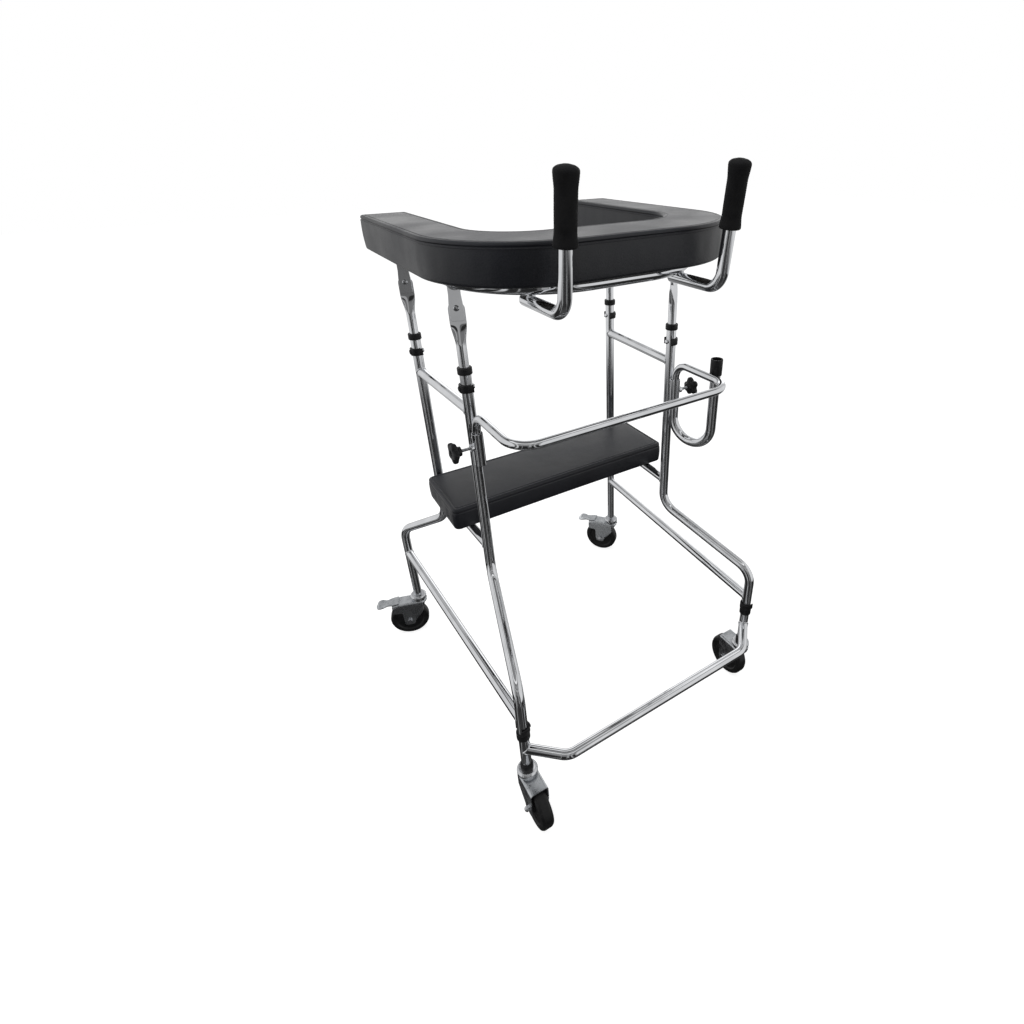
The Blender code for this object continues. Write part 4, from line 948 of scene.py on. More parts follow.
@dataclass
class Cushion:
    """Upholstered pad: a plan that shrinks by an inset, its side levels and its crown."""

    bottom_z: float
    height: float
    crown: float
    edge_r: float
    tuck: float
    pucker: float
    seam_drop: float
    seam_depth: float
    corner_r: float
    seam_inset: float = 0.0080
    bulge: float = 0.0010
    side_seam: float = 0.0014
    top_seam: float = 0.0011
    tightest_r: float = 0.004
    seam_half: float = 0.003

    def plan(self, inset: float) -> Array:
        """Plan positions (rows, columns, 2) of the pad drawn in by an inset."""
        raise NotImplementedError

    def corner(self, inset: float) -> tuple[Array, Array]:
        """Runs and falls of a quarter circle round a corner, tighter as the inset grows."""
        radius = max(self.corner_r - inset * 0.6, self.tightest_r)
        quarter = np.linspace(0, np.pi / 2, 9)
        return radius * np.cos(quarter), radius * (1 - np.sin(quarter))

    def rim(self, inset: float, z: float) -> Array:
        """The plan's outermost points, once round, at a height."""
        grid = self.plan(inset)
        flat = np.concatenate([grid[:, 0], grid[-1, 1:], grid[-2::-1, -1], grid[0, -2:0:-1]])
        return np.column_stack([flat, np.full(len(flat), z)])

    def side_levels(self) -> Array:
        """Insets and heights up the side.

        A quarter circle of the tuck's radius turns in at the bottom, a parabola swells the side
        by the bulge at mid height, and a quarter circle of the edge's radius turns in on top. A
        bell curve about the seam's height draws the side in by the seam's depth.
        """
        top = self.height - self.crown
        quarter = np.linspace(0, np.pi / 2, 7)
        turn = 1 - np.stack([np.sin(quarter), np.cos(quarter)], -1)
        seam = top - self.seam_drop
        z = np.linspace(self.tuck, seam - self.seam_half - 0.001, 9)[1:]
        z = np.concatenate([z, seam + np.linspace(-self.seam_half, self.seam_half, 13)])
        z = z[z < top - self.edge_r - 0.0002]
        middle = (self.tuck + top - self.edge_r) / 2
        spread = (z - middle) / (top - self.edge_r - self.tuck) * 2
        groove = self.seam_depth * np.exp(-(((z - seam) / self.side_seam) ** 2))
        side = np.stack([groove - self.bulge * (1 - spread**2), z], -1)
        high = self.edge_r * turn[:, ::-1] * [1, -1] + [0, top]
        return np.concatenate([self.tuck * turn, side, high]) + [self.bulge, 0.0]

    def levels(self) -> Array:
        """The side's insets and heights, and then those of a ledge on top.

        A bell curve about the top seam's inset draws the ledge down by the seam's depth.
        """
        inset = self.edge_r + np.linspace(0.0003, 2 * (self.seam_inset - self.edge_r), 13)
        groove = self.seam_depth * np.exp(-(((inset - self.seam_inset) / self.top_seam) ** 2))
        ledge = np.stack([inset + self.bulge, self.height - self.crown - groove], -1)
        return np.concatenate([self.side_levels(), ledge])

    def surface(self) -> Surface:
        """Closed cushion: side band, crowned top and flat underside over the same plan.

        The top rises by the crown times the product of two half sines across the plan, each
        flattened by a root, and the cover puckers beside the edge by small travelling sines.
        """
        levels = self.levels()
        band = np.stack([self.rim(inset, z) for inset, z in levels])
        along = np.cumsum(np.linalg.norm(np.roll(band[0], -1, 0) - band[0], axis=1)) * 2 * np.pi
        wave = sum(part * np.sin(along / pitch + start) for pitch, part, start in PUCKERS)
        share = np.clip(levels[:, 1] / levels[-1, 1], 0, 1)
        depth = self.pucker * np.sin(np.pi * share) ** 2
        chord = np.roll(band, 1, 1) - np.roll(band, -1, 1)
        side = unit(np.stack([-chord[..., 1], chord[..., 0], chord[..., 2] * 0 + 1e-9], -1))
        wall = ringed(band + side * (depth[:, None] * wave[None])[..., None])
        top, base = self.plan(levels[-1, 0]), self.plan(levels[0, 0])
        rows, columns = top.shape[:2]
        u = np.sin(np.pi * np.linspace(0, 1, rows))[:, None] ** 0.35
        v = np.sin(np.pi * np.linspace(0, 1, columns))[None] ** 0.7
        rise = self.height - self.crown + self.crown * u * v
        over = sheeted(np.concatenate([top, rise[..., None]], -1))
        under = sheeted(np.concatenate([base, np.zeros((*base.shape[:2], 1))], -1))
        body = joined([Surface(wall.points, wall.quads), over, under])
        return body.moved((0, 0, self.bottom_z))

    def welt(self, height: float, radius: float) -> Surface:
        """Sewn welt round the side at a height above the pad's bottom."""
        levels = self.side_levels()
        inset = float(np.interp(height, levels[:, 1], levels[:, 0]))
        loop = self.rim(inset, self.bottom_z + height)
        keep = np.linalg.norm(np.roll(loop, -1, 0) - loop, axis=1) > MERGE * 10
        return bead(loop[keep], radius, UP, ripple=0.0)


@dataclass
class SeatCushion(Cushion):
    """Oblong seat pad."""

    bottom_z: float = 0.48905
    height: float = 0.050
    crown: float = 0.0016
    edge_r: float = 0.005
    tuck: float = 0.004
    pucker: float = 0.00035
    seam_drop: float = 0.0085
    seam_depth: float = 0.0011
    corner_r: float = 0.012
    half_length: float = 0.266
    front_y: float = -0.058
    rear_y: float = 0.108
    pull: float = 0.0018

    def plan(self, inset: float) -> Array:
        """Oblong with round corners.

        Columns run from end to end, dense at the ends. The half depth falls by a quarter circle
        within a corner radius of each end, and the long sides pull in by a half sine.
        """
        run, fall = self.corner(inset)
        length = self.half_length - inset
        straight = length - run[0]
        x = np.linspace(-straight, straight, 41)[1:-1]
        x = np.concatenate([-(straight + run), x, (straight + run)[::-1]])
        fall = np.concatenate([fall, np.zeros(39), fall[::-1]])
        middle, half = (self.front_y + self.rear_y) / 2, (self.rear_y - self.front_y) / 2
        half = half - inset - fall - self.pull * np.cos(x / length * np.pi / 2)
        y = middle + half[:, None] * np.linspace(-1, 1, 21)[None]
        return np.stack([np.broadcast_to(x[:, None], y.shape), y], -1)


@dataclass
class HorseshoeCushion(Cushion):
    """Armrest pad: two forearm rests joined round the front."""

    bottom_z: float = 1.006
    height: float = 0.063
    crown: float = 0.0002
    edge_r: float = 0.0045
    tuck: float = 0.006
    pucker: float = 0.0003
    seam_drop: float = 0.0070
    seam_depth: float = 0.0013
    corner_r: float = 0.006
    half_width: float = 0.277
    half_opening: float = 0.187
    front_y: float = -0.301
    inner_front_y: float = -0.187
    rear_y: float = 0.212
    outer_r: float = 0.180
    inner_r: float = 0.095
    arm_y: float = -0.09
    square_end: float = 0.02

    @staticmethod
    def bend(half: float, front: float, radius: float) -> Array:
        """The rest of a horseshoe's edge below its left arm: round the corner, to the middle."""
        spin = np.linspace(np.pi, 1.5 * np.pi, 33)
        arc = radius * (1 + np.stack([np.cos(spin), np.sin(spin)], -1)) + [-half, front]
        return np.concatenate([arc, np.linspace(arc[-1], (0.0, front), 11)[1:]])

    def plan(self, inset: float) -> Array:
        """Horseshoe with rounded arm ends.

        Stations run from the left arm's end to the right arm's. At each, the plan spans from the
        outer to the inner edge, and within a corner radius of an arm's end both edges close in
        by a quarter circle.
        """
        run, fall = self.corner(inset)
        rear = self.rear_y - inset
        ends = np.linspace(rear - run[0], self.arm_y, 22)[1:-1]
        ends = np.concatenate([rear - run[0] + run, ends])
        fall = np.concatenate([fall, np.zeros(20)])
        spread = (rear - ends) / (rear - ends[-1]) * (1 - 1 / len(ends))
        near = spread * (rear - self.front_y - self.outer_r) < self.square_end
        edges = []
        for half, front, radius, aside in (
            (self.half_width - inset, self.front_y + inset, self.outer_r - inset, fall),
            (self.half_opening + inset, self.inner_front_y - inset, self.inner_r + inset, -fall),
        ):
            bend = self.bend(half, front, radius)
            y = np.where(near, ends, rear - (rear - bend[0, 1]) * spread)
            edges.append(np.concatenate([np.column_stack([aside - half, y]), bend]))
        outer, inner = edges
        v = np.linspace(0, 1, 15)[None, :, None]
        half = outer[:, None] * (1 - v) + inner[:, None] * v
        return np.concatenate([half, half[-2::-1] * [-1.0, 1.0]])


@dataclass
class Upholstery:
    """Seat and armrest pads, and the armrest pad's welt, over their plywood boards."""

    frame: PackedFrame
    seat: SeatCushion
    armrest: HorseshoeCushion
    welt_drop: float = 0.0020
    welt_r: float = 0.0009

    def build(self) -> None:
        """Lay both pads and dress the boards."""
        seat = self.frame.lay("seat_cushion", self.seat.surface(), VINYL, "seat_pad", sharp=SOFT)
        rest = self.armrest
        pad = self.frame.lay("armrest_cushion", rest.surface(), VINYL, "armrest_pad", sharp=SOFT)
        welt = rest.welt(rest.height - rest.crown - rest.seam_drop - self.welt_drop, self.welt_r)
        self.frame.lay("armrest_welt", welt, VINYL, "armrest_pad", stands=False)
        self.frame.dress("seat_board", PLYWOOD)
        self.frame.dress("armrest_board", PLYWOOD)


# Guard bar, sockets, clamp knobs and cane holder

# Levels of a clamp knob, up its thickness: share of its height, of its radius and of its lobes
KNOB_LEVELS = (
    (0.0, 0.40, 0), (0.02, 0.43, 0), (0.2, 0.45, 0), (0.36, 0.50, 0.2), (0.42, 0.78, 0.8),
    (0.52, 0.95, 1), (0.62, 1.0, 1), (0.80, 1.0, 1), (0.90, 0.975, 1), (0.96, 0.92, 1),
    (0.99, 0.84, 0.9), (1.0, 0.60, 0.4), (1.0, 0.30, 0), (0.93, 0.27, 0),
)


@dataclass
class Guard:
    """Front guard bar in two sockets, one of which hooks on into the cane holder."""

    frame: PackedFrame
    z: float = 0.776
    front_y: float = -0.305
    rise_r: float = 0.034
    corner_r: float = 0.045
    leg_end_z: float = 0.678
    socket_top_z: float = 0.739
    socket_length: float = 0.063
    weld_x: float = 0.0052
    weld_r: float = 0.0021
    weld_margin: float = 0.004
    boss_r: float = 0.0065
    boss_length: float = 0.006
    boss_sink: float = 0.0006
    screw_z: float = 0.713
    screw_r: float = 0.003
    screw_hold: float = 0.002
    thread_pitch: float = 0.0008
    thread_depth: float = 0.00018
    knob_r: float = 0.020
    knob_lobes: int = 5
    knob_depth: float = 0.00513
    knob_thickness: float = 0.018
    knob_standoff: float = 0.023
    hook_low_z: float = 0.607
    hook_r: float = 0.048
    hook_straight: float = 0.001
    hook_turn: float = math.radians(14)
    hook_top_z: float = 0.786
    cup_height: float = 0.033
    cup_grip: float = 0.012
    cup_wall: float = 0.0016

    def axis(self, leg: Leg, z: float) -> Array:
        """Point of a socket's axis, just in front of its post."""
        return np.array([leg.post[0], leg.post[1] - 2 * TUBE_R - GAP, z])

    def bar(self) -> Surface:
        """Bar up out of the left socket, forward, across the front and back down."""
        left, right = LEGS[:2]
        corners = [
            self.axis(left, self.leg_end_z),
            self.axis(left, self.z),
            (left.post[0], self.front_y, self.z),
            (right.post[0], self.front_y, self.z),
            self.axis(right, self.z),
            self.axis(right, self.leg_end_z),
        ]
        radii = [self.rise_r, self.corner_r, self.corner_r, self.rise_r]
        return rod(rounded_path(corners, radii, 16), GUARD_R)

    def boss(self, leg: Leg) -> Surface:
        """Threaded boss on a socket's outer side."""
        bore, r = self.screw_r, self.boss_r
        low, high = TUBE_R - self.boss_sink, TUBE_R + self.boss_length
        ring = bushed([(bore, low), (r, low), (r, high), (bore, high)], 0.0005, sides=32)
        return ring.aimed(leg.outward, self.axis(leg, self.screw_z))

    def weld_lines(self, leg: Leg) -> list[Surface]:
        """Two upright beads in the grooves between a socket and its post."""
        y = (leg.post[1] + self.axis(leg, 0)[1]) / 2
        low = self.socket_top_z - self.socket_length + self.weld_margin
        z = np.linspace(low, self.socket_top_z - self.weld_margin, 30)
        places = [leg.post[0] + side * self.weld_x for side in (-1, 1)]
        return [rod(np.stack([0 * z + x, 0 * z + y, z], -1), self.weld_r, 12) for x in places]

    def hook_end(self, z: float) -> Array:
        """Point of the hook's far upright at a height."""
        forward = np.array([math.sin(self.hook_turn), -math.cos(self.hook_turn), 0])
        return self.axis(LEGS[1], z) + forward * (2 * self.hook_r + self.hook_straight)

    def hook(self) -> Surface:
        """Right socket, which runs down, turns through a half circle and comes up again."""
        down = [self.axis(LEGS[1], z) for z in (self.socket_top_z, self.hook_low_z)]
        up = [self.hook_end(z) for z in (self.hook_low_z, self.hook_top_z)]
        return pipe(rounded_path(down + up, self.hook_r, 20))

    def cup(self) -> Surface:
        """Rubber cup gripping the hook's upper end, open at its top."""
        bore, inner = TUBE_R + GAP, TUBE_R + GAP - TUBE_WALL
        outer, grip, rise = bore + self.cup_wall, -self.cup_grip, self.cup_height - self.cup_grip
        corners = [(bore, grip), (outer, grip), (outer + 0.0001, rise * 0.5), (outer, rise)]
        corners += [(inner, rise), (inner, GAP), (bore, GAP)]
        ring = bushed(corners, [0.0003, 0.0006, 0.0006, 0.0006, 0.0006, 0.0001, 0.0001])
        return ring.moved(self.hook_end(self.hook_top_z))

    def clamped(self, leg: Leg, surface: Surface) -> Surface:
        """The surface set up on a socket's outer side, along the clamp screw's axis."""
        return surface.aimed(leg.outward, self.axis(leg, self.screw_z) + leg.outward * TUBE_R)

    def knob(self, leg: Leg) -> Surface:
        """Five-lobed knob on a round neck.

        A level's radius is the knob's, less the lobe depth times the level's share of the lobes
        and a power of half of one minus the cosine of five times the angle, all scaled by the
        level. The neck's levels have no lobes.
        """
        rise, size, lobed = np.array(KNOB_LEVELS).T[..., None]
        angle = 2 * np.pi * np.arange(100) / 100
        wave = ((1 - np.cos(self.knob_lobes * angle)) / 2) ** 1.3
        radius = size * (self.knob_r - self.knob_depth * lobed * wave)
        z = np.broadcast_to(self.knob_standoff + rise * self.knob_thickness, radius.shape)
        grid = np.stack([radius * np.cos(angle), radius * np.sin(angle), z], -1)
        return self.clamped(leg, ringed(grid))

    def screw(self, leg: Leg) -> Surface:
        """Clamp screw: rings whose radius rises and falls once a pitch, as a thread does."""
        z = np.linspace(GUARD_R + GAP - TUBE_R, self.knob_standoff + self.screw_hold, 150)
        thread = 1 + np.cos(2 * np.pi * z / self.thread_pitch)
        radius = self.screw_r - self.thread_depth * thread
        return self.clamped(leg, lathed(np.column_stack([radius, z]), 24))

    def build(self) -> None:
        """Lay the bar, the sockets, the cane holder, its cup and the knobs."""
        lay = self.frame.lay
        left, right = LEGS[:2]
        lay("guard_bar_tube", self.bar(), CHROME, "guard_bar")
        ends = [self.axis(left, self.socket_top_z - drop) for drop in (0, self.socket_length)]
        socket = joined([pipe(np.array(ends)), self.boss(left), *self.weld_lines(left)])
        lay("guard_socket_tube", socket, CHROME, "guard_socket_left")
        holder = joined([self.hook(), self.boss(right), *self.weld_lines(right)])
        lay("cane_holder_tube", holder, CHROME, "cane_holder")
        lay("cane_holder_cup", self.cup(), RUBBER, "cane_cup")
        for leg in (left, right):
            node = f"clamp_knob_{leg.hand}"
            lay(f"{node}_head", self.knob(leg), PLASTIC, node, sharp=50)
            lay(f"clamp_screw_{leg.hand}", self.screw(leg), STEEL, node, stands=False)


# Armrest frame and handles


@dataclass
class ArmrestFrame:
    """Horseshoe tube with a bolted tab over each telescoping tube, and the two handles."""

    frame: PackedFrame
    z: float = 0.9952
    front_y: float = -0.260
    rear_y: float = 0.172
    corner_r: float = 0.175
    tab_width: float = 0.020
    tab_low_width: float = 0.0225
    tab_end_z: float = 0.934
    tab_root: float = 0.004
    neck_height: float = 0.042
    hip_height: float = 0.028
    tab_weld_r: float = 0.0015
    tab_weld_out: float = 0.0008
    handle_x: float = 0.145
    handle_inner_y: float = -0.210
    handle_bend_y: float = -0.332
    handle_bend_r: float = 0.030
    handle_lean: float = math.radians(5.9)
    weld_reach: float = 0.0048
    weld_r: float = 0.0016
    grip_lift: float = 0.0927
    grip_length: float = 0.0965
    grip_r: float = 0.0150
    grip_flare_r: float = 0.0170
    grip_wall: float = 0.005
    grip_flare: float = 0.022
    flare_inset: float = 0.008
    grip_swell: float = 0.0005
    shoulder: float = 0.009
    hem: float = 0.002
    hem_depth: float = 0.0012
    core_r: float = 0.0006
    rib_pitch: float = 0.0032
    rib_depth: float = 0.00022

    @staticmethod
    def half_width(y: float) -> float:
        """Half width of the horseshoe at y, on the line through a front and a rear post."""
        front, rear = LEGS[1].post, LEGS[3].post
        return front[0] + (rear[0] - front[0]) / (rear[1] - front[1]) * (y - front[1])

    def line(self) -> Array:
        """The horseshoe's axis, from the left arm's end round the front to the right arm's."""
        front, rear = self.half_width(self.front_y), self.half_width(self.rear_y)
        ends = [(-rear, self.rear_y), (-front, self.front_y)]
        ends += [(front, self.front_y), (rear, self.rear_y)]
        return rounded_path([(*end, self.z) for end in ends], self.corner_r, 28)

    def tab(self, leg: Leg) -> Surface:
        """Plate hanging from the tube in front of the flat, with fillet beads at its root."""
        half, low_half = self.tab_width / 2, self.tab_low_width / 2
        drop = self.z - self.tab_end_z
        root, neck, hip = self.tab_root, drop - self.neck_height, drop - self.hip_height
        corners = [(-half, root), (half, root), (half, neck), (low_half, hip), (low_half, drop)]
        corners += [(-low_half, drop), (-low_half, hip), (-half, neck)]
        outline = rounded_loop(corners, [0.0005] * 2 + [0.004] * 6, 5)
        y = -(FLAT_THICKNESS + TAB_THICKNESS) / 2 - GAP
        plate = extruded(outline, TAB_THICKNESS / 2, 0.0004).tipped(-1).moved((0, y, 0))
        x = np.linspace(-half, half, 20)
        beads = []
        for side in (-1, 1):
            offset = y + side * (TAB_THICKNESS / 2 + self.tab_weld_out)
            off_axis = x * math.cos(leg.flat_turn) - offset * math.sin(leg.flat_turn)
            meet = np.sqrt(np.maximum(TUBE_R**2 - off_axis**2, 1e-6))
            beads.append(rod(np.stack([x, 0 * x + offset, -meet], -1), self.tab_weld_r, 10))
        return joined([plate, *beads]).turned(leg.flat_turn).moved(leg.at_post(self.z))

    def corner(self, side: int) -> Array:
        """Where a handle's level run and its upright meet, below the horseshoe."""
        return np.array([side * self.handle_x, self.handle_bend_y, self.z - 2 * TUBE_R - GAP])

    @property
    def lean(self) -> Array:
        """Direction of a handle's upright, slightly forward."""
        return np.array([0.0, -math.sin(self.handle_lean), math.cos(self.handle_lean)])

    def handle(self, side: int) -> Surface:
        """Handle tube along under the horseshoe and up in front of the pad, with its welds."""
        corner = self.corner(side)
        reach = self.grip_lift + self.grip_length - self.grip_wall - GAP
        start = corner * [1, 0, 1] + [0, self.handle_inner_y, 0]
        corners = [start, corner, corner + reach * self.lean]
        tube = pipe(rounded_path(corners, self.handle_bend_r, 16))
        line = self.line()
        crossing = np.interp(corner[0], line[:, 0], line[:, 1])
        angle = np.linspace(0, 2 * np.pi, 40, endpoint=False)
        ring = np.stack([np.cos(angle), np.sin(angle), 0 * angle], -1) * self.weld_reach
        ring = ring + [corner[0], crossing, self.z - TUBE_R - GAP / 2]
        return joined([tube, bead(ring, self.weld_r, UP)])

    def grip(self, side: int) -> Surface:
        """Foam grip with flared ends.

        The radius is the waist's plus the flare's extra, which dies away from both ends by an
        eased share, with a round shoulder at the top, a small hem at the bottom and fine ribs.
        """
        length = self.grip_length
        z = np.linspace(0, length, 70)
        low = smooth(1 - z / self.grip_flare) ** 1.2
        high = smooth((z - length + self.flare_inset) / self.grip_flare + 1)
        radius = self.grip_r + (self.grip_flare_r - self.grip_r) * (low + high)
        radius = radius + self.grip_swell * np.sin(np.pi * z / length)
        shoulder = np.clip((z - length) / self.shoulder + 1, 0, 1)
        radius = radius * np.sqrt(1 - 0.92 * shoulder**2.6)
        radius = radius - self.hem_depth * np.clip(1 - z / self.hem, 0, 1) ** 2
        ribs = self.rib_depth * (1 - np.cos(2 * np.pi * z / self.rib_pitch))
        outer = np.column_stack([radius - ribs * (1 - low) * (1 - smooth(shoulder * 8)), z])
        bore, end = TUBE_R + GAP, length - self.grip_wall
        inner = [(self.core_r, end), (bore, end), (bore, 0.0)]
        shell = lathed(np.vstack([inner, outer, [(self.core_r, length)]]))
        return shell.aimed(self.lean, self.corner(side) + self.grip_lift * self.lean)

    def build(self) -> None:
        """Lay the horseshoe with its tabs, and both handles with their grips."""
        tube = joined([pipe(self.line()), *[self.tab(leg) for leg in LEGS]])
        self.frame.lay("armrest_frame_tube", tube, CHROME, "armrest_frame")
        for side, hand in ((-1, "left"), (1, "right")):
            self.frame.lay(f"handle_{hand}_tube", self.handle(side), CHROME, f"handle_{hand}")
            self.frame.lay(f"grip_{hand}_foam", self.grip(side), FOAM, f"grip_{hand}", sharp=SOFT)


# Casters


@dataclass
class Caster:
    """Swivel caster under one foot, built round its swivel axis with the wheel trailing to +X."""

    frame: PackedFrame
    leg: Leg
    top_z: float = 0.123
    plug_depth: float = 0.037
    race_r: float = 0.0205
    race_z: float = 0.1135
    ring_r: float = 0.0125
    ring_top_z: float = 0.1367
    king_r: float = 0.005
    fork_top_z: float = 0.108
    sheet: float = 0.0025
    inner_width: float = 0.033
    reach_back: float = 0.0205
    reach_plain: float = 0.045
    reach_braked: float = 0.070
    shoulder_z: float = 0.084
    back_drop: float = 0.016
    lip: float = 0.0065
    eye_half: float = 0.0140
    eye_r: float = 0.0085
    lip_x: float = -0.0150
    lip_run: float = 0.0085
    fold_r: float = 0.004
    nose: float = 0.028
    lower_race_r: float = 0.018
    wheel_r: float = 0.050
    wheel_width: float = 0.026
    cad_wheel_sides: int = 20
    wheel_round: int = 96
    hub_r: float = 0.013
    rim_r: float = 0.034
    recess: float = 0.003
    trail: float = 0.032
    axle_r: float = 0.004
    nut_r: float = 0.0060
    core_r: float = 0.0006
    head_height: float = 0.0045
    nut_height: float = 0.0028
    dome_height: float = 0.0048
    pivot_x: float = 0.064
    pivot_z: float = 0.0985
    pedal_half: float = 0.0155
    fold_x: float = 0.051
    fork_fall: float = 0.14
    pedal_fall: float = 0.11
    toe_x: float = 0.1085
    toe_share: float = 0.78
    toe_power: float = 2.6
    toe_drop: float = 0.0022
    toe_dish: float = 0.0012
    neck_depth: float = 0.22
    spoon: float = 0.10
    pedal_hub_r: float = 0.0072
    press: float = 11
    shoe_spread: tuple[float, float] = (12, 40)

    @property
    def hub(self) -> Array:
        """Middle of the wheel, as high as the CAD's many-sided wheel stands on one of its flats."""
        return np.array([self.trail, 0.0, self.wheel_r * math.cos(math.pi / self.cad_wheel_sides)])

    def race(self) -> Surface:
        """Stem in the foot's tube with the cup race round its foot and the king pin below."""
        plug = (TUBE_R if self.leg.braked else INNER_R) - TUBE_WALL - GAP
        top = (self.top_z if self.leg.braked else self.ring_top_z) + self.plug_depth
        head = self.fork_top_z - self.sheet - GAP
        corners = [
            (0.0005, top),
            (plug, top),
            (plug, self.top_z),
            (self.race_r - 0.0035, self.top_z),
            (self.race_r, self.top_z - 0.0042),
            (self.race_r, self.race_z),
            (self.king_r, self.race_z),
            (self.king_r, head),
            (0.008, head),
            (0.008, head - 0.0025),
            (0.0005, head - 0.0025),
        ]
        radii = [0.001, 0.0004, 0.002, 0.0016, 0.0014, 0.0004, 0.0003, 0.0006, 0.0006]
        return lathed(rounded_path(corners, radii, 4), 64)

    def ring(self) -> Surface:
        """Black spacer ring between a front foot's plug tube and the race."""
        plug, r, low, high = INNER_R - TUBE_WALL, self.ring_r, self.top_z, self.ring_top_z
        corners = [(plug, high), (r, high), (r, low), (plug, low)]
        return bushed(corners, [0.0002, 0.0018, 0.0006, 0.0002], 4)

    @property
    def steps_x(self) -> Array:
        """Stations along the fork's step up from the eye to the shoulder."""
        return self.trail + self.eye_half + np.array([0.0006, 0.0016, 0.004])

    def lower_edge(self, x: Array) -> Array:
        """Height of the fork's lower edge at x.

        It rises from a short lip at the back to a straight line down to the eye, follows the
        eye's flat end and its round corners, and steps up to the shoulder.
        """
        cx, cz = self.trail, self.hub[2]
        start, front = cx - self.eye_half, cx + self.eye_half
        back = self.fork_top_z - self.back_drop
        slope = back + (x + self.reach_back) / (start + self.reach_back) * (cz - 0.004 - back)
        lip = smooth((x - self.lip_x) / self.lip_run)
        slope = lip * slope + (1 - lip) * (self.fork_top_z - self.lip)
        corner = np.clip(np.abs(x - cx) - self.eye_half + self.eye_r, 0, self.eye_r)
        eye = cz - self.eye_half + self.eye_r - np.sqrt(self.eye_r**2 - corner**2)
        heights = [cz, *(self.shoulder_z - np.array([0.011, 0.0075, 0.006, 0.004]))]
        beyond = np.interp(x, [front, *self.steps_x, self.reach_braked], heights)
        return np.where(x < start, slope, np.where(x <= front, eye, beyond))

    def fork(self) -> Surface:
        """Pressed fork as the middle of its sheet: over the top and down both sides.

        Across it, a point walks from one side's lower edge up to a rounded fold, over the top and
        down the other side. Along it, the lower edge follows the fork's side view, and at the
        back the half width follows a circle about the swivel axis.
        """
        reach = self.reach_braked if self.leg.braked else self.reach_plain
        full = self.inner_width / 2 + self.sheet / 2
        round_r = self.reach_back - self.sheet / 2
        swing = np.linspace(math.radians(12), math.asin(full / round_r), 12)
        corner = np.linspace(0, np.pi / 2, 9)
        bend = self.eye_r * (1 - np.cos(corner))
        eye = [self.trail - self.eye_half + bend, (self.trail + self.eye_half - bend)[::-1]]
        eye = np.concatenate(eye)
        x = np.concatenate([-round_r * np.cos(swing), np.linspace(-0.0070, eye[0], 12)[:-1], eye])
        tail = self.steps_x
        nose = np.linspace(max(tail[-1], reach - self.nose), reach, 8)[1:]
        x = np.concatenate([x, tail[tail < reach - 0.0004], nose])
        x = np.unique(np.round(x, 6))
        half = np.where(x < 0, np.sqrt(np.maximum(round_r**2 - x**2, 1e-8)), full)[:, None]
        half = np.minimum(half, full)
        top = self.fork_top_z - self.sheet / 2
        fold = np.minimum(self.fold_r, half * 0.6)
        if self.leg.braked:
            top = top - self.fork_fall * np.maximum(x - self.fold_x, 0)[:, None]
        low = np.minimum(self.lower_edge(x)[:, None], top - fold - 0.0006)
        share = np.linspace(0, 1, 9)[None]
        side_z = low + (top - fold - low) * share
        side_y = np.broadcast_to(half, side_z.shape)
        angle = np.linspace(0, np.pi / 2, 7)[None, 1:]
        fold_y = half - fold + fold * np.cos(angle)
        fold_z = top - fold + fold * np.sin(angle)
        flat_y = (half - fold) * np.linspace(1, -1, 9)[None, 1:]
        y = np.concatenate([side_y, fold_y, flat_y, -fold_y[:, -2::-1], -side_y[:, ::-1]], 1)
        flat_z = np.broadcast_to(top, flat_y.shape)
        z = np.concatenate([side_z, fold_z, flat_z, fold_z[:, -2::-1], side_z[:, ::-1]], 1)
        return sheeted(np.stack([np.broadcast_to(x[:, None], y.shape), y, z], -1))

    def lower_race(self) -> Surface:
        """Raised race on the fork's top."""
        bore, r = self.king_r + 0.001, self.lower_race_r
        low, high = self.fork_top_z - 0.001, self.race_z - GAP
        corners = [(bore, low), (r, low), (r, high), (bore, high)]
        return bushed(corners, [0.0003, 0.0003, 0.0012, 0.0003], 4, 64)

    def wheel(self) -> Surface:
        """Rubber wheel: rounded tread, recessed web and bored hub, mirrored about its middle."""
        half = self.wheel_width / 2
        bore = self.axle_r + GAP
        side = [(bore, half), (self.hub_r, half), (self.hub_r, half - self.recess)]
        side += [(self.rim_r, half - self.recess), (self.rim_r + self.recess, half)]
        side += [(self.wheel_r - 0.0035, half), (self.wheel_r - 0.0004, half * 0.55)]
        radii = [0.0004, 0.0008, 0.0008, 0.0012, 0.0018, 0.0045, 0.002]
        mirrored = [(radius, -height) for radius, height in reversed(side)]
        outline = rounded_loop(side + mirrored, radii + radii[::-1], 5)
        outline[:, 0] += np.where(np.abs(outline[:, 1]) < half * 0.5, 0.0003, 0)
        return lathed(outline, self.wheel_round, closed=True).aimed((0, 1, 0), self.hub)

    def axle(self) -> Surface:
        """Axle bolt with a hexagon head on one side and a domed nut on the other."""
        face = self.inner_width / 2 + self.sheet + GAP
        r = self.nut_r
        stem = [(self.axle_r, 0.0), (self.axle_r, face), (r, face)]
        top = face + self.head_height
        head = [(r, top - 0.0007), (r * 0.9, top), (self.core_r, top)]
        bolt = hexed(np.array(stem + head), np.array([0, 0, 1.0, 1.0, 0, 0]))
        quarter = np.linspace(0, np.pi / 2, 8)
        rise = face + 0.0030 + self.dome_height * np.sin(quarter)
        dome = np.column_stack([0.0052 * np.cos(quarter) + 0.0004, rise])
        nut = np.vstack([[*stem, (r, face + self.nut_height)], dome])
        share = np.concatenate([[0, 0, 1.0, 1.0], np.zeros(8)])
        other = hexed(nut, share).aimed((0, -1, 0))
        return joined([bolt.aimed((0, 1, 0)), other]).moved(self.hub)

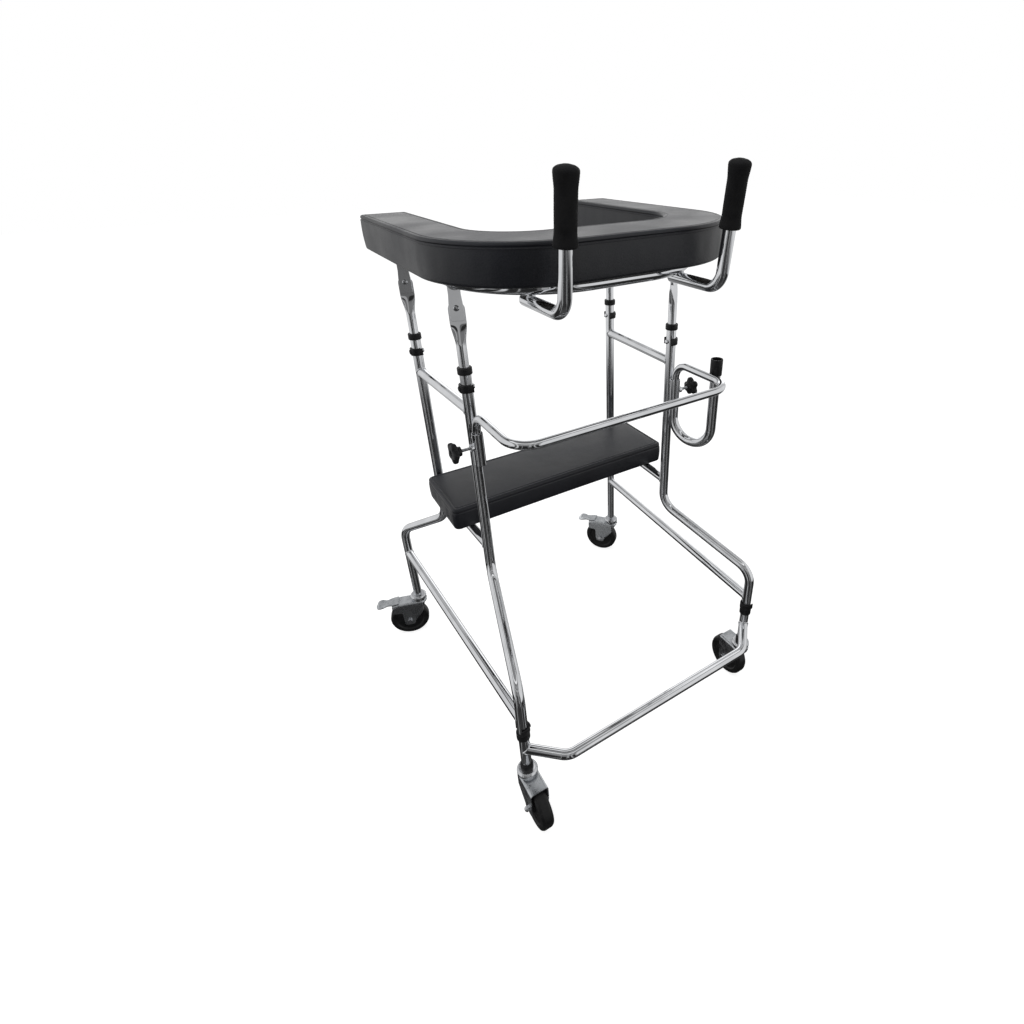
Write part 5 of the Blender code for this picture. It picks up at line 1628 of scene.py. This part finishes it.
    def pedal_plate(self) -> Surface:
        """Toe plate as the middle of its sheet.

        Along it, the height falls evenly from the fork's fold, lying on the fork's top. Its half
        width narrows at the neck and widens towards the toe, whose end closes by the root of one
        minus a power. The toe is dished by the square of the way across, and its end turns down.
        """
        start = self.fold_x + 0.001 - self.pivot_x
        length = self.toe_x - self.pivot_x - start
        toe, power = self.toe_share, self.toe_power
        tip = toe + (1 - toe) * np.sin(np.linspace(0, np.pi / 2, 14))[1:]
        s = np.concatenate([np.linspace(0, toe, 30), tip])
        x = start + s * length
        top = self.fork_top_z - self.pivot_z + GAP + self.sheet / 2
        z = top - self.pedal_fall * (x - start) - self.toe_drop * smooth((s - 0.88) / 0.12)
        spoon = smooth((s - 0.55) / 0.2)
        neck = 1 - self.neck_depth * np.exp(-(((s - 0.50) / 0.15) ** 2)) + self.spoon * spoon
        end = np.clip((s - toe) / (1 - toe), 0, 0.9995)
        half = self.pedal_half * neck * (1 - end**power) ** (1 / power)
        v = np.linspace(-1, 1, 17)
        y = half[:, None] * v[None]
        dish = self.toe_dish * (v**2)[None] * spoon[:, None]
        x = np.broadcast_to(x[:, None], y.shape)
        return sheeted(np.stack([x, y, z[:, None] + dish], -1))

    def pedal_block(self) -> Surface:
        """Hub of the pedal with the shoe that presses on the tread, and its cross pin.

        Seen from the side, the outline runs round the hub, and between two spokes it follows the
        wheel's tread at a gap, where each spoke meets it by the rule of cosines.
        """
        to_wheel = self.hub[[0, 2]] - [self.pivot_x, self.pivot_z]
        distance = np.linalg.norm(to_wheel)
        facing = math.atan2(to_wheel[1], to_wheel[0]) % (2 * np.pi) + math.radians(self.press)
        spread = np.radians(np.linspace(*self.shoe_spread, 8))
        across = (self.wheel_r + GAP) ** 2 - (distance * np.sin(spread)) ** 2
        reach = distance * np.cos(spread) - np.sqrt(across)
        back = np.linspace(np.pi / 2, facing, 14)
        front = np.linspace(facing + spread[-1] + 0.35, 2.5 * np.pi, 16)[:-1]
        angle = np.concatenate([back, facing + spread, front])
        size = np.concatenate([self.pedal_hub_r + 0 * back, reach, self.pedal_hub_r + 0 * front])
        outline = np.column_stack([size * np.cos(angle), size * np.sin(angle)])
        end = self.inner_width / 2 + self.sheet + 0.001
        profile = [(0.0004, -end), (0.003, -end), (0.003, end), (0.0004, end)]
        pin = lathed(rounded_path(profile, 0.0006, 4), 28)
        return joined([extruded(outline, self.pedal_half).tipped(), pin.aimed((0, 1, 0))])

    def lay(
        self, kind: str, surface: Surface, finish: Finish, part: str, stands: bool = True
    ) -> bpy.types.Object:
        """Lay a piece turned to the caster's heading and set under its foot."""
        placed = surface.turned(self.leg.heading).moved(self.leg.at_foot(0))
        name = self.leg.name
        return self.frame.lay(f"{name}_{kind}", placed, finish, f"{name}_{part}", stands)

    def thicken(self, piece: bpy.types.Object) -> None:
        """Give a pressed sheet its thickness about its middle, and ease its cut edges."""
        wall = piece.modifiers.new("wall", "SOLIDIFY")
        wall.thickness = self.sheet
        wall.offset = 0
        wall.use_even_offset = True
        ease = piece.modifiers.new("ease", "BEVEL")
        ease.width = 0.0005
        ease.segments = 2
        ease.limit_method = "ANGLE"
        ease.angle_limit = math.radians(60)

    def build(self) -> None:
        """Lay this caster's pieces over the frame."""
        self.lay("race", self.race(), RACE, "caster_stem")
        if not self.leg.braked:
            self.lay("spacer_ring", self.ring(), PLASTIC, "caster_stem", stands=False)
        self.thicken(self.lay("fork_pressing", self.fork(), ZINC, "fork"))
        self.lay("fork_race", self.lower_race(), RACE, "fork", stands=False)
        self.lay("wheel_rubber", self.wheel(), RUBBER, "wheel")
        self.lay("axle_bolt", self.axle(), STEEL, "axle")
        if self.leg.braked:
            pivot = (self.pivot_x, 0, self.pivot_z)
            plate, block = self.pedal_plate().moved(pivot), self.pedal_block().moved(pivot)
            self.thicken(self.lay("pedal_plate", plate, ZINC, "brake_pedal"))
            self.lay("pedal_shoe", block, ZINC, "brake_pedal", stands=False)


# Studio

# Grey of the mirrored upper half by height, from the horizon at 0 to straight up at 1
PANELS = (
    (0.00, 0.00), (0.10, 0.00), (0.17, 0.15), (0.32, 0.17), (0.345, 0.08), (0.385, 0.08),
    (0.41, 0.36), (0.51, 0.38), (0.54, 0.08), (0.58, 0.08), (0.60, 0.28), (0.70, 0.28),
    (0.73, 0.10), (0.79, 0.12), (0.82, 0.95), (0.88, 0.95), (0.91, 0.26), (1.00, 0.22),
)
# Upright strips on the camera's side: place to the right, half width and power, and the width
# over which one fades, as a multiple of its own
STRIPS = (
    (-0.78, 0.016, 0.45), (-0.52, 0.030, 0.60), (-0.28, 0.010, 0.30), (0.055, 0.020, 0.11),
    (0.40, 0.024, 0.42), (0.63, 0.010, 0.45),
)
STRIP_FADE = 2.2


class Measure(Enum):
    """What a step of the mirrored light follows: how far the direction points that way."""

    TOWARDS = "towards the camera"
    SIDEWAYS = "to the camera's right"
    FLANKS = "to either side"
    HEIGHT = "up"


@dataclass(frozen=True)
class Step:
    """Light that eases from low to high while its measure goes from start to end."""

    measure: Measure
    start: float
    end: float
    low: float
    high: float


# Groups of mirrored lights. Steps are multiplied, the lights of a group are added up, and the
# brightest group shows: the dim room behind with a band along its horizon, the floor, and the
# cards at the camera's right and at both sides
UPPER = Step(Measure.HEIGHT, -0.40, -0.28, 0.0, 1.0)
ROOM = (
    Step(Measure.TOWARDS, -0.28, -0.62, 0.0, 0.52),
    Step(Measure.HEIGHT, -0.80, -0.45, 0.10, 1.0),
)
HORIZON = (
    Step(Measure.TOWARDS, -0.78, -0.90, 0.0, 0.80),
    Step(Measure.HEIGHT, -0.12, 0.02, 0.0, 1.0),
    Step(Measure.HEIGHT, 0.32, 0.42, 1.0, 0.0),
)
GROUND = (Step(Measure.HEIGHT, -0.70, -0.97, 0.0, 0.04),)
CARD = (
    Step(Measure.SIDEWAYS, 0.085, 0.105, 0.0, 0.34),
    Step(Measure.SIDEWAYS, 0.24, 0.22, 0.0, 1.0),
    UPPER,
)
WINGS = (Step(Measure.FLANKS, 0.60, 0.72, 0.0, 0.72), UPPER)
GROUPS = ((ROOM, HORIZON), (GROUND,), (CARD, WINGS))
# What all the strips are multiplied by
STRIP_REACH = (
    Step(Measure.TOWARDS, 0.05, 0.25, 0.0, 1.0),
    Step(Measure.HEIGHT, -0.80, -0.50, 0.35, 1.0),
)


def staged(
    name: str, data: bpy.types.ID, back: Array, right: Array, at: Array
) -> bpy.types.Object:
    """Put a lamp or the camera at a point, by what lies behind it and at its right hand."""
    turn = np.eye(4)
    turn[:3, 0], turn[:3, 1], turn[:3, 2], turn[:3, 3] = right, np.cross(back, right), back, at
    made = bpy.data.objects.new(name, data)
    made.matrix_world = Matrix(turn.tolist())
    bpy.context.scene.collection.objects.link(made)
    return made


@dataclass
class Studio:
    """White sweep, soft lamps, the surroundings that bright metal mirrors, and the camera."""

    frame: PackedFrame
    camera_at: tuple[float, float, float] = (-0.527, -1.0125, 1.186)
    yaw: float = math.radians(-32.87)
    pitch: float = math.radians(28.91)
    roll: float = math.radians(0.688)
    lens: float = 19.984
    sensor: float = 36.0
    shift: tuple[float, float] = (-0.0874, -0.0558)
    floor_half: float = 12.0
    floor_grey: float = 0.42
    floor_glow: float = 0.80
    fill: float = 0.62
    faint: float = 0.022
    lamps_aim: tuple[float, float, float] = (0.0, 0.0, 0.55)

    def floor(self) -> None:
        """Pale floor that turns white where light falls on it and keeps the walker's shadow."""
        edge, grey = self.floor_half, self.floor_grey
        corners = np.array([(-edge, -edge, 0), (edge, -edge, 0), (edge, edge, 0), (-edge, edge, 0)])
        floor = linked("floor", Surface(corners, np.array([(0, 1, 2, 3)])))
        material = bpy.data.materials.new("pale_floor")
        material.use_nodes = True
        material.node_tree.nodes.clear()
        nodes = Nodes(material.node_tree)
        seen = nodes.add("LightPath").outputs["Is Camera Ray"]
        paint = nodes.add("BsdfDiffuse", (grey, grey, grey, 1))
        glow = nodes.add("Emission", WHITE, nodes.math("MULTIPLY", seen, self.floor_glow))
        total = nodes.add("AddShader", paint.outputs[0], glow.outputs[0])
        nodes.add("OutputMaterial", total.outputs[0])
        floor.data.materials.append(material)
        floor.visible_glossy = False

    def mirrored(self, nodes: Nodes) -> Socket:
        """Brightness by direction in mirrors: the brightest of panels, groups and strips."""
        direction = nodes.add("TexCoord").outputs["Generated"]
        sin, cos = math.sin(self.yaw), math.cos(self.yaw)
        sideways, height = nodes.dot(direction, (cos, sin, 0.0)), nodes.dot(direction, UP)
        measures = {
            Measure.TOWARDS: nodes.dot(direction, (sin, -cos, 0.0)),
            Measure.SIDEWAYS: sideways,
            Measure.FLANKS: nodes.math("ABSOLUTE", sideways),
            Measure.HEIGHT: height,
        }

        def eased(steps: Sequence[Step]) -> list[Socket]:
            """The light of each step."""
            return [
                nodes.mapped(measures[s.measure], (s.start, s.end), (s.low, s.high), "SMOOTHSTEP")
                for s in steps
            ]

        panels = nodes.add("ValToRGB", height)
        stops = panels.color_ramp.elements
        for place, level in PANELS[1:-1]:
            stops.new(place).color = (level, level, level, 1)
        for stop, (place, level) in ((stops[0], PANELS[0]), (stops[-1], PANELS[-1])):
            stop.position, stop.color = place, (level, level, level, 1)
        bright = [panels.outputs[0]]
        for group in GROUPS:
            bright.append(nodes.folded("ADD", [nodes.folded("MULTIPLY", eased(s)) for s in group]))
        strips = []
        for place, width, power in STRIPS:
            away = nodes.math("ABSOLUTE", nodes.math("SUBTRACT", sideways, place))
            span = (width, width * STRIP_FADE)
            strips.append(nodes.mapped(away, span, (power, 0.0), "SMOOTHSTEP"))
        strips = [nodes.folded("ADD", strips), *eased(STRIP_REACH)]
        bright.append(nodes.folded("MULTIPLY", strips))
        return nodes.math("ADD", nodes.folded("MAXIMUM", bright), self.faint)

    def surroundings(self) -> None:
        """World: white to the eye, a lit studio with dark flags to metal, and soft fill.

        In mirrors, the upper half has grey panels at several heights and a bright one near the
        top. Behind the walker lies a dim room with a bright band along its horizon, there are
        pale cards at both sides, and upright strips on the camera's side. The floor is dark.
        """
        world = bpy.data.worlds.new("studio")
        bpy.context.scene.world = world
        world.use_nodes = True
        world.node_tree.nodes.clear()
        nodes = Nodes(world.node_tree)
        rays = nodes.add("LightPath").outputs
        light = nodes.mixed(rays["Is Glossy Ray"], self.fill, self.mirrored(nodes))
        light = nodes.mixed(rays["Is Camera Ray"], light, 1.0)
        background = nodes.add("Background", WHITE, light)
        nodes.add("OutputWorld", background.outputs[0])

    def lamps(self) -> None:
        """Broad soft lamp overhead and a weaker one from the camera's left."""
        for name, place, size, watts in (
            ("overhead_lamp", (-0.4, 0.1, 3.0), 2.2, 34),
            ("side_lamp", (-2.4, -1.6, 1.7), 1.6, 16),
        ):
            light = bpy.data.lights.new(name, "AREA")
            light.shape = "DISK"
            light.size = size
            light.energy = watts
            back = unit(np.array(place) - self.lamps_aim)
            right = unit(np.cross((0.0, 1.0, 0.02), back))
            staged(name, light, back, right, np.array(place)).visible_glossy = False

    def camera(self) -> None:
        """Camera at the photograph's viewing angle.

        It looks along the yaw and the pitch. Its right hand is level and is then rolled.
        """
        a, e, r = self.yaw, self.pitch, self.roll
        look = np.array([-math.sin(a) * math.cos(e), math.cos(a) * math.cos(e), -math.sin(e)])
        level = np.array([math.cos(a), math.sin(a), 0.0])
        right = math.cos(r) * level + math.sin(r) * np.cross(look, level)
        data = bpy.data.cameras.new("camera")
        data.lens = self.lens
        data.sensor_width = self.sensor
        data.shift_x, data.shift_y = self.shift
        at = np.array(self.camera_at) + self.frame.origin
        bpy.context.scene.camera = staged("camera", data, -look, right, at)

    def build(self) -> None:
        """Set the stage round the walker."""
        bpy.context.scene.view_settings.view_transform = "Standard"
        self.floor()
        self.surroundings()
        self.lamps()
        self.camera()


def main() -> None:
    """Build the walker's pieces in order."""
    logging.basicConfig(level=logging.INFO, format="%(message)s")
    frame = PackedFrame()
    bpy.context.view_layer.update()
    pieces = [SideFrames(frame), Telescopes(frame), FrontBow(frame)]
    pieces += [Upholstery(frame, SeatCushion(), HorseshoeCushion()), Guard(frame)]
    pieces += [ArmrestFrame(frame), *[Caster(frame, leg) for leg in LEGS], Studio(frame)]
    for piece in pieces:
        LOG.info("building %s", type(piece).__name__)
        piece.build()


if __name__ == "__main__":
    main()
